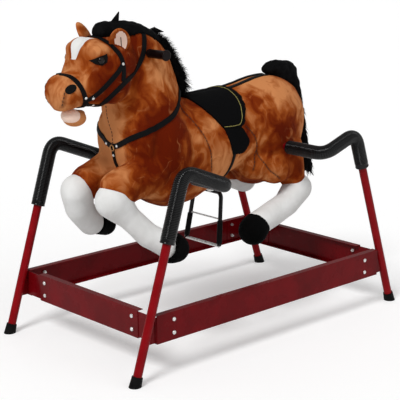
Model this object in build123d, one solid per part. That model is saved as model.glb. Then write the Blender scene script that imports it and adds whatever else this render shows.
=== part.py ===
# Plush rocking horse hung on four springs in a red tube and channel frame, in millimetres.
# The origin is on the floor between the four feet. The horse faces -Y and its left side is +X.
import os
from math import cos, radians, sin, sqrt, tan

from build123d import *

PARTS_DIR = "parts"

# Base frame
FOOT_HALF_WIDTH = 300.0
FOOT_HALF_LENGTH = 539.0
POST_LEAN_DEG = 17.85
POST_FOOT_Z = 7.0
TUBE_D = 25.4
TUBE_WALL = 1.5
CAP_HEIGHT = 27.0
CAP_TOP_D = 31.0
CAP_FOOT_D = 37.0
CAP_OVERRUN = 12.0

# Channels and corner brackets
CHANNEL_BOTTOM_Z = 104.0
CHANNEL_HEIGHT = 82.0
CHANNEL_FLANGE = 20.0
SHEET = 2.0
SIDE_CHANNEL_X = 306.7
END_CHANNEL_Y = 469.0
END_CHANNEL_HALF = 231.0
POST_CLEARANCE = 6.0
BRACKET_FRONT_REACH = 122.0
BRACKET_SIDE_REACH = 84.0
BRACKET_HEIGHT = 74.0
GUSSET_THICK = 4.0

# Frame bolts
BOLT_D = 6.0
BOLT_HEAD_D = 12.0
BOLT_HEAD_T = 3.5
BOLT_HEAD_ROUND = 2.1
BOLT_LENGTH = 14.0
NUT_D = 11.0
NUT_T = 5.0
BOLT_ROWS_Z = (125.0, 164.0)
END_BOLT_X = 206.0
SIDE_BOLT_Y = 402.0

# Springs and sleeves
FRONT_BAR_Y = -183.0
FRONT_BAR_Z = 502.0
REAR_BAR_Y = 215.0
REAR_BAR_Z = 534.0
TUBE_STUB = 10.0
BEND_R = 41.0
SLEEVE_D = 44.0
SLEEVE_WALL = 2.5
SLEEVE_INNER_X = 152.0
FRONT_SLEEVE_LOW_Z = 380.0
FRONT_BEND_Z = 572.0
REAR_SLEEVE_LOW_Z = 469.0
REAR_BEND_Z = 580.0
SPRING_D = 34.0
SPRING_WIRE_D = 4.0
SPRING_PITCH = 7.0
SPRING_OVERLAP = 9.0

# Horse skeleton
RAIL_D = 20.0
RAIL_X = 55.0
NECK_TUBE_D = 22.0
HANDLE_Y = -268.0
HANDLE_Z = 863.0
HANDLE_D = 20.0
HANDLE_HALF = 132.0
GRIP_D = 25.0
GRIP_INNER_X = 64.0
GRIP_END_D = 31.0
GRIP_END_T = 9.0
GRIP_END_ROUND = 0.4

# Stirrup
STIRRUP_D = 13.0
STIRRUP_TOP = (60.0, 12.0, 408.0)
STIRRUP_FOOT = (75.0, -12.0, 246.0)
STIRRUP_BEND_R = 18.0
STIRRUP_GRIP_D = 17.0
STIRRUP_GRIP_LENGTH = 70.0
STIRRUP_GRIP_FOOT = 8.0
TIE_ROD_D = 5.0
TREAD_D = 9.0
PLATE_LENGTH = 84.0
PLATE_WIDTH = 48.0
PLATE_T = 3.0
PLATE_BOLT_X = 24.0
PLATE_BOLT_Y = 14.5
PLATE_BOLT_LENGTH = 92.0
PLATE_ROUND = 6.0
PLATE_BOLT_D = 8.0
PLATE_HEAD_D = 13.0
PLATE_HEAD_T = 5.0

# Plush sections, as (y, centre z, half width, half height) along the torso
TORSO = (
    (-352, 605, 22, 34),
    (-343, 603, 62, 72),
    (-312, 598, 98, 112),
    (-250, 570, 118, 148),
    (-164, 551, 128, 163),
    (-80, 555, 131, 158),
    (0, 573, 130, 141),
    (80, 590, 127, 129),
    (160, 587, 131, 145),
    (240, 583, 132, 158),
    (315, 583, 106, 145),
    (370, 588, 68, 106),
    (396, 592, 40, 62),
    (404, 594, 16, 24),
)
# Neck sections, as (z, centre y, half width, half length)
NECK = (
    (590, -234, 96, 100),
    (650, -238, 104, 120),
    (712, -246, 97, 131),
    (765, -248, 80, 122),
    (820, -248, 67, 105),
    (875, -262, 60, 82),
    (915, -285, 47, 54),
    (930, -292, 20, 24),
)
# Head sections, as (y, centre z, half width, half height)
HEAD = (
    (-292, 852, 26, 34),
    (-306, 850, 48, 62),
    (-345, 838, 72, 88),
    (-395, 822, 82, 100),
    (-440, 817, 78, 93),
    (-480, 802, 66, 76),
    (-512, 777, 52, 53),
    (-540, 774, 52, 53),
    (-558, 774, 41, 42),
    (-567, 773, 19, 20),
)
# Mane sections on the crest, as (y, z, half width, half thickness, tilt in degrees)
MANE = (
    (-413, 926, 12, 8, 75),
    (-396, 927, 26, 17, 80),
    (-350, 927, 42, 28, 90),
    (-280, 918, 48, 30, 105),
    (-217, 886, 44, 31, 130),
    (-166, 836, 38, 30, 150),
    (-131, 784, 34, 27, 162),
    (-108, 742, 26, 20, 165),
    (-98, 724, 12, 8, 165),
)
# Tail sections, as (y, z, half width, half thickness, tilt in degrees)
TAIL = (
    (258, 746, 14, 9, 60),
    (276, 754, 26, 20, 70),
    (320, 750, 33, 30, 100),
    (366, 722, 33, 27, 140),
    (388, 682, 30, 21, 165),
    (406, 625, 27, 16, 170),
    (421, 560, 26, 14, 172),
    (436, 490, 26, 15, 171),
    (452, 430, 24, 17, 168),
    (472, 394, 10, 8, 160),
)
TAIL_GAP = 0.5

# Jaw, ears and eyes
JAW_CENTRE = (0.0, -487.0, 697.0)
JAW_SIZE = (43.0, 37.0, 25.0)
JAW_ROOT = (0.0, -455.0, 713.0)
JAW_ROOT_SIZE = (26.0, 22.0, 12.0)
JAW_GAP = 2.0
JAW_CLOSE_DEG = 5.0
MOUTH_HINGE = (-436.0, 716.0)
TONGUE_CENTRE = (0.0, -500.0, 706.0)
TONGUE_SIZE = (38.0, 36.0, 22.0)
EAR_CENTRE = (63.0, -378.0, 914.0)
EAR_SIZE = (11.0, 24.0, 41.0)
EAR_TILT = (14.0, 18.0, -22.0)
EYE_CENTRE = (66.0, -446.0, 861.0)
EYE_BALL_R = 11.0

# Legs: left side joints; the right fore leg is folded further and the right hind leg is tucked higher
SHIN_SHARE = 0.76
FORE_SHOULDER = (74.0, -290.0, 514.0)
FORE_KNEE = (80.0, -424.0, 462.0)
FORE_ANKLE = (152.0, -272.0, 318.0)
FORE_RADII = (66.0, 52.0, 36.0)
FORE_SOCK_TOP = ((80.0, -415.0, 489.0), (0.0, -0.39, -0.92))
FOLDED_ANKLE = (-122.0, -314.0, 346.0)
HIND_HIP = (78.0, 262.0, 512.0)
HIND_HOCK = (103.0, 306.0, 374.0)
HIND_ANKLE = (142.0, 98.0, 318.0)
HIND_RADII = (66.0, 47.0, 37.0)
HIND_SOCK_TOP = ((103.0, 298.0, 400.0), (0.0, 0.1, -0.99))
TUCKED_HOCK = (-103.0, 292.0, 378.0)
TUCKED_ANKLE = (-112.0, 172.0, 418.0)
TUCKED_SOCK_TOP = ((-103.0, 292.0, 400.0), (0.0, 0.1, -0.99))
FORE_HOOF_LENGTH = 50.0
HIND_HOOF_LENGTH = 76.0
HOOF_TOP_R = 40.0
HOOF_SOLE_R = 46.0
HOOF_TOP_ROUND = 6.0
HOOF_SOLE_ROUND = 30.0

# Tack
SADDLE_T = 7.0
FENDER_T = 5.0
STRAP_T = 3.5
STRAP_W = 15.0
GIRTH_W = 22.0
GIRTH_TOP_Z = 528.0
CRUPPER_W = 36.0
CRUPPER_ENDS = (106.0, 240.0)
SADDLE_SIDE = ((-95, 760), (-97, 694), (-48, 630), (22, 628), (49, 664), (64, 705), (104, 760))
FENDER_SIDE = ((-46, 627), (-28, 584), (-8, 545), (10, 532), (42, 541), (63, 574), (52, 624))
COLLAR_LINE = ((-100, 722), (-356, 596))
CHEST_STRAP_ENDS = (590.0, 512.0)
NOSEBAND_LINE = ((-534, 826), (-486, 746))
CHEEK_LINE = ((-482, 752), (-378, 850))
BROW_LINE = ((-378, 850), (-420, 928))
LATCH_LINE = ((-418, 722), (-292, 892))
JAW_STRAP_LINE = ((-474, 744), (-420, 726))
RIVET_D = 8.0
RIVET_T = 3.0
RIVET_SPOTS = ((-490, 757), (-472, 760), (-378, 846), (-464, 742))

SIDES = {"left": 1, "right": -1}
ENDS = {"front": -1, "rear": 1}
CUT_REACH = 400.0


def save(node, *solids):
    """Write one node, given as one solid or a group of separate solids."""
    shape = solids[0] if len(solids) == 1 else Compound(children=list(solids))
    export_step(shape, os.path.join(PARTS_DIR, f"{node}.step"))


def along(start, end):
    """Plane at start whose normal points at end, and the distance between them."""
    run = Vector(end) - Vector(start)
    return Plane(origin=start, z_dir=run), run.length


def rod(start, end, diameter):
    plane, length = along(start, end)
    return extrude(plane * Circle(diameter / 2), amount=length)


def tube(start, end, diameter, wall):
    plane, length = along(start, end)
    ring = Circle(diameter / 2) - Circle(diameter / 2 - wall)
    return extrude(plane * ring, amount=length)


def cone_between(start, end, start_r, end_r):
    plane, length = along(start, end)
    frustum = Cone(start_r, end_r, length, align=(Align.CENTER, Align.CENTER, Align.MIN))
    return plane * frustum


def ball(centre, size):
    """Ellipsoid with three half sizes."""
    return Pos(*centre) * scale(Sphere(1.0), by=size)


def block(low, high):
    spans = [b - a for a, b in zip(low, high)]
    middle = [(a + b) / 2 for a, b in zip(low, high)]
    return Pos(*middle) * Box(*spans)


def mirrored(solid):
    return mirror(solid, about=Plane.YZ)


def post_point(side, end, z):
    """Point on the axis of one leaning post at height z."""
    return (side * FOOT_HALF_WIDTH, end * (FOOT_HALF_LENGTH - z * tan(radians(POST_LEAN_DEG))), z)


def bend_z(end):
    return FRONT_BEND_Z if end < 0 else REAR_BEND_Z


def bar_corner(side, end):
    """Corner of a crossbar, where it turns from the horse towards the post."""
    if end < 0:
        return Vector(side * FOOT_HALF_WIDTH, FRONT_BAR_Y, FRONT_BAR_Z)
    return Vector(side * FOOT_HALF_WIDTH, REAR_BAR_Y, REAR_BAR_Z)


def spring_run(side, end):
    """Straight run from the bent post top to the bent crossbar end, between the two tube ends."""
    top = Vector(post_point(side, end, bend_z(end)))
    corner = bar_corner(side, end)
    pull = (corner - top).normalized()
    climb = (top - Vector(post_point(side, end, 0))).normalized()
    post_turn = radians(climb.get_angle(pull))
    post_stop = top + pull * (BEND_R * tan(post_turn / 2) + TUBE_STUB)
    bar_stop = corner - pull * (BEND_R + TUBE_STUB)
    return post_stop, bar_stop


def bent_tube(route, diameter, wall, radius):
    """Hollow tube along straight runs joined by bends."""
    path = FilletPolyline(*route, radius=radius)
    section = Circle(diameter / 2) - Circle(diameter / 2 - wall)
    return sweep(Plane(origin=path @ 0, z_dir=path % 0) * section, path=path)


# Posts, bent over at the top, and rubber foot caps
def make_post(side, end):
    stop, _ = spring_run(side, end)
    route = (post_point(side, end, POST_FOOT_Z), post_point(side, end, bend_z(end)), stop)
    return bent_tube(route, TUBE_D, TUBE_WALL, BEND_R)


def make_foot_cap(side, end):
    low = post_point(side, end, -CAP_OVERRUN)
    high = post_point(side, end, CAP_HEIGHT)
    cap = cone_between(low, high, CAP_FOOT_D / 2, CAP_TOP_D / 2)
    cap -= rod(post_point(side, end, POST_FOOT_Z), post_point(side, end, FRONT_BEND_Z), TUBE_D)
    return split(cap, bisect_by=Plane.XY, keep=Keep.TOP)


# Corner brackets: a folded plate behind each post, with a gusset welded between them
def make_bracket(side, end):
    z_low = CHANNEL_BOTTOM_Z + (CHANNEL_HEIGHT - BRACKET_HEIGHT) / 2
    z_high = z_low + BRACKET_HEIGHT
    face_y = END_CHANNEL_Y - SHEET
    face_x = SIDE_CHANNEL_X - SHEET
    plate = block((face_x - BRACKET_FRONT_REACH, face_y - SHEET, z_low), (face_x, face_y, z_high))
    plate += block((face_x - SHEET, face_y - BRACKET_SIDE_REACH, z_low), (face_x, face_y, z_high))
    gusset_x = FOOT_HALF_WIDTH - GUSSET_THICK / 2
    gusset = block((gusset_x, face_y, z_low), (gusset_x + GUSSET_THICK, FOOT_HALF_LENGTH, z_high))
    post_core = rod(post_point(1, 1, POST_FOOT_Z), post_point(1, 1, FRONT_BEND_Z), TUBE_D)
    behind_post = max((gusset - post_core).solids(), key=lambda piece: -piece.center().Y)
    plate += behind_post
    if side < 0:
        plate = mirror(plate, about=Plane.YZ)
    if end < 0:
        plate = mirror(plate, about=Plane.XZ)
    return plate


# Channels: folded C sections with the flanges turned inwards
def channel_section(flange_dir):
    """C outline with its outer face on the local Y axis and its flanges along flange_dir."""
    web = Pos(flange_dir * SHEET / 2, CHANNEL_HEIGHT / 2) * Rectangle(SHEET, CHANNEL_HEIGHT)
    flange = Rectangle(CHANNEL_FLANGE, SHEET)
    low = Pos(flange_dir * CHANNEL_FLANGE / 2, SHEET / 2) * flange
    high = Pos(flange_dir * CHANNEL_FLANGE / 2, CHANNEL_HEIGHT - SHEET / 2) * flange
    return web + low + high


def make_side_channel(side):
    half = END_CHANNEL_Y - POST_CLEARANCE
    start = Plane(origin=(side * SIDE_CHANNEL_X, half, CHANNEL_BOTTOM_Z), x_dir=(1, 0, 0), z_dir=(0, -1, 0))
    return extrude(start * channel_section(-side), amount=2 * half)


def make_end_channel(end):
    start = Plane(
        origin=(-END_CHANNEL_HALF, end * END_CHANNEL_Y, CHANNEL_BOTTOM_Z), x_dir=(0, 1, 0), z_dir=(1, 0, 0)
    )
    return extrude(start * channel_section(-end), amount=2 * END_CHANNEL_HALF)


# Frame bolts and nuts, each as a place on a channel face and the direction it points outwards
def bolt_places():
    for side in SIDES.values():
        for end in ENDS.values():
            for z in BOLT_ROWS_Z:
                yield (side * END_BOLT_X, end * END_CHANNEL_Y, z), (0, end, 0)
                yield (side * SIDE_CHANNEL_X, end * SIDE_BOLT_Y, z), (side, 0, 0)


def make_bolt(face, out):
    plane = Plane(origin=face, z_dir=out)
    head = Cylinder(BOLT_HEAD_D / 2, BOLT_HEAD_T, align=(Align.CENTER, Align.CENTER, Align.MIN))
    head = fillet(head.edges().filter_by(GeomType.CIRCLE).sort_by(Axis.Z)[-1], BOLT_HEAD_ROUND)
    shank = Cylinder(BOLT_D / 2, BOLT_LENGTH, align=(Align.CENTER, Align.CENTER, Align.MAX))
    return plane * (head + shank)


def make_nut(face, out):
    plane = Plane(origin=face, z_dir=out).offset(-2 * SHEET)
    nut = RegularPolygon(NUT_D / 2, 6) - Circle(BOLT_D / 2)
    return extrude(plane * nut, amount=-NUT_T)


def with_bolt_holes(sheet_part):
    for face, out in bolt_places():
        plane = Plane(origin=face, z_dir=out)
        hole = plane * Cylinder(BOLT_D / 2, BOLT_LENGTH * 2)
        if (sheet_part & hole).volume > 0:
            sheet_part -= hole
    return sheet_part


# Crossbars, springs and sleeves
def make_crossbar(end):
    route = [spring_run(-1, end)[1], bar_corner(-1, end), bar_corner(1, end), spring_run(1, end)[1]]
    return bent_tube(route, TUBE_D, TUBE_WALL, BEND_R)


def make_spring(side, end):
    """Coil slipped over the post end and over the crossbar end."""
    post_stop, bar_stop = spring_run(side, end)
    pull = (bar_stop - post_stop).normalized()
    length = (bar_stop - post_stop).length + 2 * SPRING_OVERLAP
    coil_r = (SPRING_D - SPRING_WIRE_D) / 2
    path = Helix(SPRING_PITCH, length, coil_r, center=post_stop - pull * SPRING_OVERLAP, direction=pull)
    wire = Plane(origin=path @ 0, z_dir=path % 0) * Circle(SPRING_WIRE_D / 2)
    return sweep(wire, path=path, is_frenet=True)


def make_sleeve(side, end):
    low_z = FRONT_SLEEVE_LOW_Z if end < 0 else REAR_SLEEVE_LOW_Z
    corner = bar_corner(side, end)
    route = (
        post_point(side, end, low_z),
        post_point(side, end, bend_z(end)),
        corner,
        (side * SLEEVE_INNER_X, corner.Y, corner.Z),
    )
    return bent_tube(route, SLEEVE_D, SLEEVE_WALL, BEND_R)


# Plush bodies: smooth lofts through oval sections
def loft_along_y(stations, grow=0.0):
    faces = []
    for y, z, half_w, half_h in stations:
        plane = Plane(origin=(0, y, z), x_dir=(1, 0, 0), z_dir=(0, 1, 0))
        faces.append(plane * Ellipse(half_w + grow, half_h + grow))
    return loft(faces)


def loft_up(stations, grow=0.0):
    faces = []
    for z, y, half_w, half_l in stations:
        faces.append(Pos(0, y, z) * Ellipse(half_w + grow, half_l + grow))
    return loft(faces)


def loft_strip(stations):
    """Hair strip: ellipses whose normals turn with the tilt angle in the YZ plane."""
    faces = []
    for y, z, half_w, half_t, tilt in stations:
        run = (0, sin(radians(tilt)), cos(radians(tilt)))
        plane = Plane(origin=(0, y, z), x_dir=(1, 0, 0), z_dir=run)
        faces.append(plane * Ellipse(half_w, half_t))
    return loft(faces)


def make_leg(hip, knee, ankle, radii, sock_top):
    """Stuffed leg bent at the knee, cut into the brown upper part and the white sock."""
    hip_r, knee_r, ankle_r = radii
    upper = cone_between(hip, knee, hip_r, knee_r)
    shin = cone_between(knee, ankle, knee_r * SHIN_SHARE, ankle_r)
    leg = upper + Pos(*knee) * Sphere(knee_r) + shin
    cut = Plane(origin=sock_top[0], z_dir=sock_top[1])
    sock = split(leg, bisect_by=cut, keep=Keep.TOP)
    brown = split(leg, bisect_by=cut, keep=Keep.BOTTOM)
    return brown, sock


def make_hoof(knee, ankle, hoof_length):
    plane, shin_length = along(knee, ankle)
    hoof = Cone(HOOF_TOP_R, HOOF_SOLE_R, hoof_length, align=(Align.CENTER, Align.CENTER, Align.MIN))
    rims = hoof.edges().filter_by(GeomType.CIRCLE).sort_by(Axis.Z)
    hoof = fillet(rims[-1], HOOF_SOLE_ROUND)
    rims = hoof.edges().filter_by(GeomType.CIRCLE).sort_by(Axis.Z)
    hoof = fillet(rims[0], HOOF_TOP_ROUND)
    return plane.offset(shin_length) * hoof


def leg_pair(left, right, radii, hoof_length, body):
    """Uppers, socks and hooves of two legs, each given as hip, knee, ankle and sock top."""
    uppers = []
    socks = []
    hooves = []
    for hip, knee, ankle, sock_top in (left, right):
        upper, sock = make_leg(hip, knee, ankle, radii, sock_top)
        uppers.append(max((upper - body).solids(), key=lambda piece: piece.volume))
        socks.append(max((sock - body).solids(), key=lambda piece: piece.volume))
        hooves.append(make_hoof(knee, ankle, hoof_length) - body)
    return uppers, socks, hooves


def on_right(point):
    return (-point[0], point[1], point[2])


def side_outline(points):
    """Prism across the whole width from an outline drawn in the YZ plane."""
    face = Plane.YZ * make_face(Polyline(*points, close=True))
    return extrude(face, amount=CUT_REACH, both=True)


def strap_slab(line, width):
    """Slab across the whole width that follows a line drawn in the YZ plane."""
    (y0, z0), (y1, z1) = line
    length = sqrt((y1 - y0) ** 2 + (z1 - z0) ** 2)
    across = ((z0 - z1) / length * width / 2, (y1 - y0) / length * width / 2)
    corners = (
        (y0 + across[0], z0 + across[1]),
        (y1 + across[0], z1 + across[1]),
        (y1 - across[0], z1 - across[1]),
        (y0 - across[0], z0 - across[1]),
    )
    return side_outline(corners)


def main_solids(shape, least=50.0):
    """Separate solids of a shape, without the crumbs a cut can leave."""
    return [piece for piece in shape.solids() if piece.volume > least]


def half_width_at(stations, y, z):
    """Half width of a plush loft at one point of its side view."""
    for (y0, c0, w0, h0), (y1, c1, w1, h1) in zip(stations[:-1], stations[1:]):
        if min(y0, y1) <= y <= max(y0, y1):
            t = (y - y0) / (y1 - y0)
            centre = c0 + t * (c1 - c0)
            half_w = w0 + t * (w1 - w0)
            half_h = h0 + t * (h1 - h0)
            return half_w * sqrt(max(0.0, 1 - ((z - centre) / half_h) ** 2))
    return 0.0


os.makedirs(PARTS_DIR, exist_ok=True)

# Base frame
for end_name, end in ENDS.items():
    for side_name, side in SIDES.items():
        save(f"post_{end_name}_{side_name}", make_post(side, end))
corners = [(side, end) for end in ENDS.values() for side in SIDES.values()]
save("foot_caps", *[make_foot_cap(side, end) for side, end in corners])
save("corner_brackets", *[with_bolt_holes(make_bracket(side, end)) for side, end in corners])
for side_name, side in SIDES.items():
    save(f"{side_name}_channel", with_bolt_holes(make_side_channel(side)))
for end_name, end in ENDS.items():
    save(f"{end_name}_channel", with_bolt_holes(make_end_channel(end)))
save("frame_bolts", *[make_bolt(face, out) for face, out in bolt_places()])
save("frame_nuts", *[make_nut(face, out) for face, out in bolt_places()])

# Suspension
for end_name, end in ENDS.items():
    for side_name, side in SIDES.items():
        save(f"spring_{end_name}_{side_name}", make_spring(side, end))
        save(f"sleeve_{end_name}_{side_name}", make_sleeve(side, end))

# Skeleton
bar_cores = []
for end_name, end in ENDS.items():
    save(f"{end_name}_crossbar", make_crossbar(end))
    bar_cores.append(rod(bar_corner(-1, end), bar_corner(1, end), TUBE_D))
rails = []
for side in SIDES.values():
    front = (side * RAIL_X, FRONT_BAR_Y, FRONT_BAR_Z)
    rear = (side * RAIL_X, REAR_BAR_Y, REAR_BAR_Z)
    rail = tube(front, rear, RAIL_D, TUBE_WALL) - bar_cores[0] - bar_cores[1]
    rails.append(max(rail.solids(), key=lambda piece: piece.volume))
save("seat_rails", *rails)
handle_left = (HANDLE_HALF, HANDLE_Y, HANDLE_Z)
handle_right = (-HANDLE_HALF, HANDLE_Y, HANDLE_Z)
neck_tube = tube((0, FRONT_BAR_Y, FRONT_BAR_Z), (0, HANDLE_Y, HANDLE_Z), NECK_TUBE_D, TUBE_WALL)
neck_tube = neck_tube - bar_cores[0] - rod(handle_right, handle_left, HANDLE_D)
save("neck_tube", max(neck_tube.solids(), key=lambda piece: piece.volume))
save("handle_bar", tube(handle_right, handle_left, HANDLE_D, TUBE_WALL))
grips = []
for side in SIDES.values():
    inner = (side * GRIP_INNER_X, HANDLE_Y, HANDLE_Z)
    outer = (side * HANDLE_HALF, HANDLE_Y, HANDLE_Z)
    tip = (side * (HANDLE_HALF + GRIP_END_T), HANDLE_Y, HANDLE_Z)
    knob = rod(outer, tip, GRIP_END_D)
    knob = fillet(knob.edges().filter_by(GeomType.CIRCLE), GRIP_END_T * GRIP_END_ROUND)
    grips.append(tube(inner, outer, GRIP_D, (GRIP_D - HANDLE_D) / 2) + knob)
save("handle_grips", *grips)

# Stirrup under the belly
foot_left = Vector(STIRRUP_FOOT)
top_left = Vector(STIRRUP_TOP)
foot_right = Vector(-foot_left.X, foot_left.Y, foot_left.Z)
top_right = Vector(-top_left.X, top_left.Y, top_left.Z)
hanger = bent_tube((foot_right, top_right, top_left, foot_left), STIRRUP_D, TUBE_WALL, STIRRUP_BEND_R)
climb = (top_left - foot_left).normalized()
grip_low = foot_left + climb * STIRRUP_GRIP_FOOT
grip_high = grip_low + climb * STIRRUP_GRIP_LENGTH
sleeve = tube(grip_low, grip_high, STIRRUP_GRIP_D, (STIRRUP_GRIP_D - STIRRUP_D) / 2)
rod_left = grip_high + climb * TIE_ROD_D
tie_rod = rod((-rod_left.X, rod_left.Y, rod_left.Z), rod_left, TIE_ROD_D)
tread = rod(foot_right, foot_left, TREAD_D)
plate_z = STIRRUP_TOP[2] + STIRRUP_D / 2
plate_y = STIRRUP_TOP[1]
plate = block(
    (-PLATE_LENGTH / 2, plate_y - PLATE_WIDTH / 2, plate_z),
    (PLATE_LENGTH / 2, plate_y + PLATE_WIDTH / 2, plate_z + PLATE_T),
)
plate = fillet(plate.edges().filter_by(Axis.Z), PLATE_ROUND)
plate_bolts = []
for side in SIDES.values():
    for bolt_y in (plate_y - PLATE_BOLT_Y, plate_y + PLATE_BOLT_Y):
        head = Cylinder(PLATE_HEAD_D / 2, PLATE_HEAD_T, align=(Align.CENTER, Align.CENTER, Align.MAX))
        shank = Cylinder(PLATE_BOLT_D / 2, PLATE_BOLT_LENGTH, align=(Align.CENTER, Align.CENTER, Align.MIN))
        bolt = Pos(side * PLATE_BOLT_X, bolt_y, plate_z) * (head + shank)
        plate -= Pos(side * PLATE_BOLT_X, bolt_y, plate_z) * Cylinder(PLATE_BOLT_D / 2, PLATE_BOLT_LENGTH)
        plate_bolts.append(bolt)
save("stirrup_hanger", hanger - tie_rod - tread)
save("stirrup_grips", sleeve, mirrored(sleeve))
save("stirrup_tie_rod", tie_rod)
save("stirrup_tread", tread)
save("belly_plate", plate)
save("belly_plate_bolts", *plate_bolts)

# Stuffed body
torso = loft_along_y(TORSO)
neck_form = loft_up(NECK)
head_form = loft_along_y(HEAD)
neck = max((neck_form - torso).solids(), key=lambda piece: piece.volume)
head = max((head_form - neck_form).solids(), key=lambda piece: piece.volume)

# Jaw: the lower lip and chin, hung just under the mouth, with the tongue set into it
mouth_room = loft_along_y(HEAD, grow=JAW_GAP)
hinge_axis = Axis((0, *MOUTH_HINGE), (1, 0, 0))
jaw = ball(JAW_CENTRE, JAW_SIZE) + ball(JAW_ROOT, JAW_ROOT_SIZE)
tongue = ball(TONGUE_CENTRE, TONGUE_SIZE) - mouth_room - mouth_room.rotate(hinge_axis, JAW_CLOSE_DEG)
tongue = max(tongue.solids(), key=lambda piece: piece.volume)
jaw = jaw - mouth_room - mouth_room.rotate(hinge_axis, JAW_CLOSE_DEG) - tongue
jaw = max(jaw.solids(), key=lambda piece: piece.volume)
save("jaw", jaw)
save("tongue", tongue)

# Ears and eyes
ear = Pos(*EAR_CENTRE) * Rot(*EAR_TILT) * scale(Sphere(1.0), by=EAR_SIZE)
ear = max((ear - head - neck).solids(), key=lambda piece: piece.volume)
eye = Pos(*EYE_CENTRE) * Sphere(EYE_BALL_R)
save("ears", ear, mirrored(ear))
save("eyes", eye - head, mirrored(eye - head))

# Mane and tail
mane = loft_strip(MANE) - neck_form - head_form - torso
for ear_solid in (ear, mirrored(ear)):
    mane = mane - ear_solid
save("mane", max(mane.solids(), key=lambda piece: piece.volume))
tail = loft_strip(TAIL) - loft_along_y(TORSO, grow=TAIL_GAP)
save("tail", max(tail.solids(), key=lambda piece: piece.volume))

# Legs
fore_left = (FORE_SHOULDER, FORE_KNEE, FORE_ANKLE, FORE_SOCK_TOP)
fore_right_top = (on_right(FORE_SOCK_TOP[0]), FORE_SOCK_TOP[1])
fore_right = (on_right(FORE_SHOULDER), on_right(FORE_KNEE), FOLDED_ANKLE, fore_right_top)
fore_uppers, fore_socks, fore_hooves = leg_pair(fore_left, fore_right, FORE_RADII, FORE_HOOF_LENGTH, torso)
save("foreleg_uppers", *fore_uppers)
save("foreleg_socks", *fore_socks)
save("fore_hooves", *fore_hooves)
hind_left = (HIND_HIP, HIND_HOCK, HIND_ANKLE, HIND_SOCK_TOP)
hind_right = (on_right(HIND_HIP), TUCKED_HOCK, TUCKED_ANKLE, TUCKED_SOCK_TOP)
hind_uppers, hind_socks, hind_hooves = leg_pair(hind_left, hind_right, HIND_RADII, HIND_HOOF_LENGTH, torso)
save("hind_leg_uppers", *hind_uppers)
save("hind_socks", *hind_socks)
save("hind_hooves", *hind_hooves)

# Saddle, fenders, girth and crupper lie on the torso
saddle = (loft_along_y(TORSO, grow=SADDLE_T) - torso) & side_outline(SADDLE_SIDE)
save("saddle", *main_solids(saddle))
fenders = (loft_along_y(TORSO, grow=FENDER_T) - torso) & side_outline(FENDER_SIDE)
save("saddle_fenders", *main_solids(fenders - saddle))
thin_torso = loft_along_y(TORSO, grow=STRAP_T)
girth_zone = block((-CUT_REACH, -GIRTH_W / 2, 0), (CUT_REACH, GIRTH_W / 2, GIRTH_TOP_Z))
girth = (thin_torso - torso) & girth_zone
for bolt in plate_bolts:
    girth = girth - bolt
save("girth", *main_solids(girth))
crupper_low = (-CRUPPER_W / 2, CRUPPER_ENDS[0], GIRTH_TOP_Z)
crupper_zone = block(crupper_low, (CRUPPER_W / 2, CRUPPER_ENDS[1], CUT_REACH * 2))
save("crupper_strap", *main_solids((thin_torso - torso) & crupper_zone))

# Breast collar around the base of the neck, with its centre strap down the chest
front_form = torso + neck_form
front_thick = thin_torso + loft_up(NECK, grow=STRAP_T)
collar = (front_thick - front_form) & strap_slab(COLLAR_LINE, STRAP_W)
chest_low = (-STRAP_W / 2, -CUT_REACH, CHEST_STRAP_ENDS[1])
chest_zone = block(chest_low, (STRAP_W / 2, FRONT_BAR_Y, CHEST_STRAP_ENDS[0]))
collar = collar + ((thin_torso - torso) & chest_zone)
for upper in fore_uppers:
    collar = collar - upper
save("breast_collar", *main_solids(collar))

# Bridle straps on the head
head_shell = loft_along_y(HEAD, grow=STRAP_T) - head_form - neck_form
noseband = head_shell & strap_slab(NOSEBAND_LINE, STRAP_W)
headstall = head_shell & (strap_slab(CHEEK_LINE, STRAP_W) + strap_slab(BROW_LINE, STRAP_W))
poll_form = head_form + neck_form
latch_shell = loft_along_y(HEAD, grow=STRAP_T) + loft_up(NECK, grow=STRAP_T) - poll_form
latch = latch_shell & (strap_slab(LATCH_LINE, STRAP_W) + strap_slab(JAW_STRAP_LINE, STRAP_W))
headstall = headstall - noseband
latch = latch - headstall - noseband - mane
save("noseband", *main_solids(noseband))
save("headstall", *main_solids(headstall - mane))
save("throat_latch", *main_solids(latch))

# Rivets pressed into the straps
rivets = []
for y, z in RIVET_SPOTS:
    x = half_width_at(HEAD, y, z)
    rivet = rod((x, y, z), (x + STRAP_T + RIVET_T, y, z), RIVET_D)
    rivets += [rivet, mirrored(rivet)]
save("tack_rivets", *rivets)

save("torso", torso)
save("neck", neck)
save("head", head)
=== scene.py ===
import math
import random

import bmesh
import bpy
from mathutils import Matrix, Vector, noise
from mathutils.bvhtree import BVHTree


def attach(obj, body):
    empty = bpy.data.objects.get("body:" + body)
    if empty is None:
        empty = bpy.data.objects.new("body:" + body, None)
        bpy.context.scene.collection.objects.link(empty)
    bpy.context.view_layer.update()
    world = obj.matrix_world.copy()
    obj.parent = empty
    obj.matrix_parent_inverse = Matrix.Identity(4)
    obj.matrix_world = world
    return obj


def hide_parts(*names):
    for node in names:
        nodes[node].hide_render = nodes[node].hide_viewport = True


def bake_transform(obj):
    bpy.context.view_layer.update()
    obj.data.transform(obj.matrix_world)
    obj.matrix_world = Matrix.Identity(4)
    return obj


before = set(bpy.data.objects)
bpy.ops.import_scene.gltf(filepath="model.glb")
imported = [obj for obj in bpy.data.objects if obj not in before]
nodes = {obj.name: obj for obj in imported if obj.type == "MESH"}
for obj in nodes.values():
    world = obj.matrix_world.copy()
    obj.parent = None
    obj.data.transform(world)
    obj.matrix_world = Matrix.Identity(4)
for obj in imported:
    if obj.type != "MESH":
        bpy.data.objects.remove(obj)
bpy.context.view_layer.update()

SIDES = {"left": 1, "right": -1}
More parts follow.
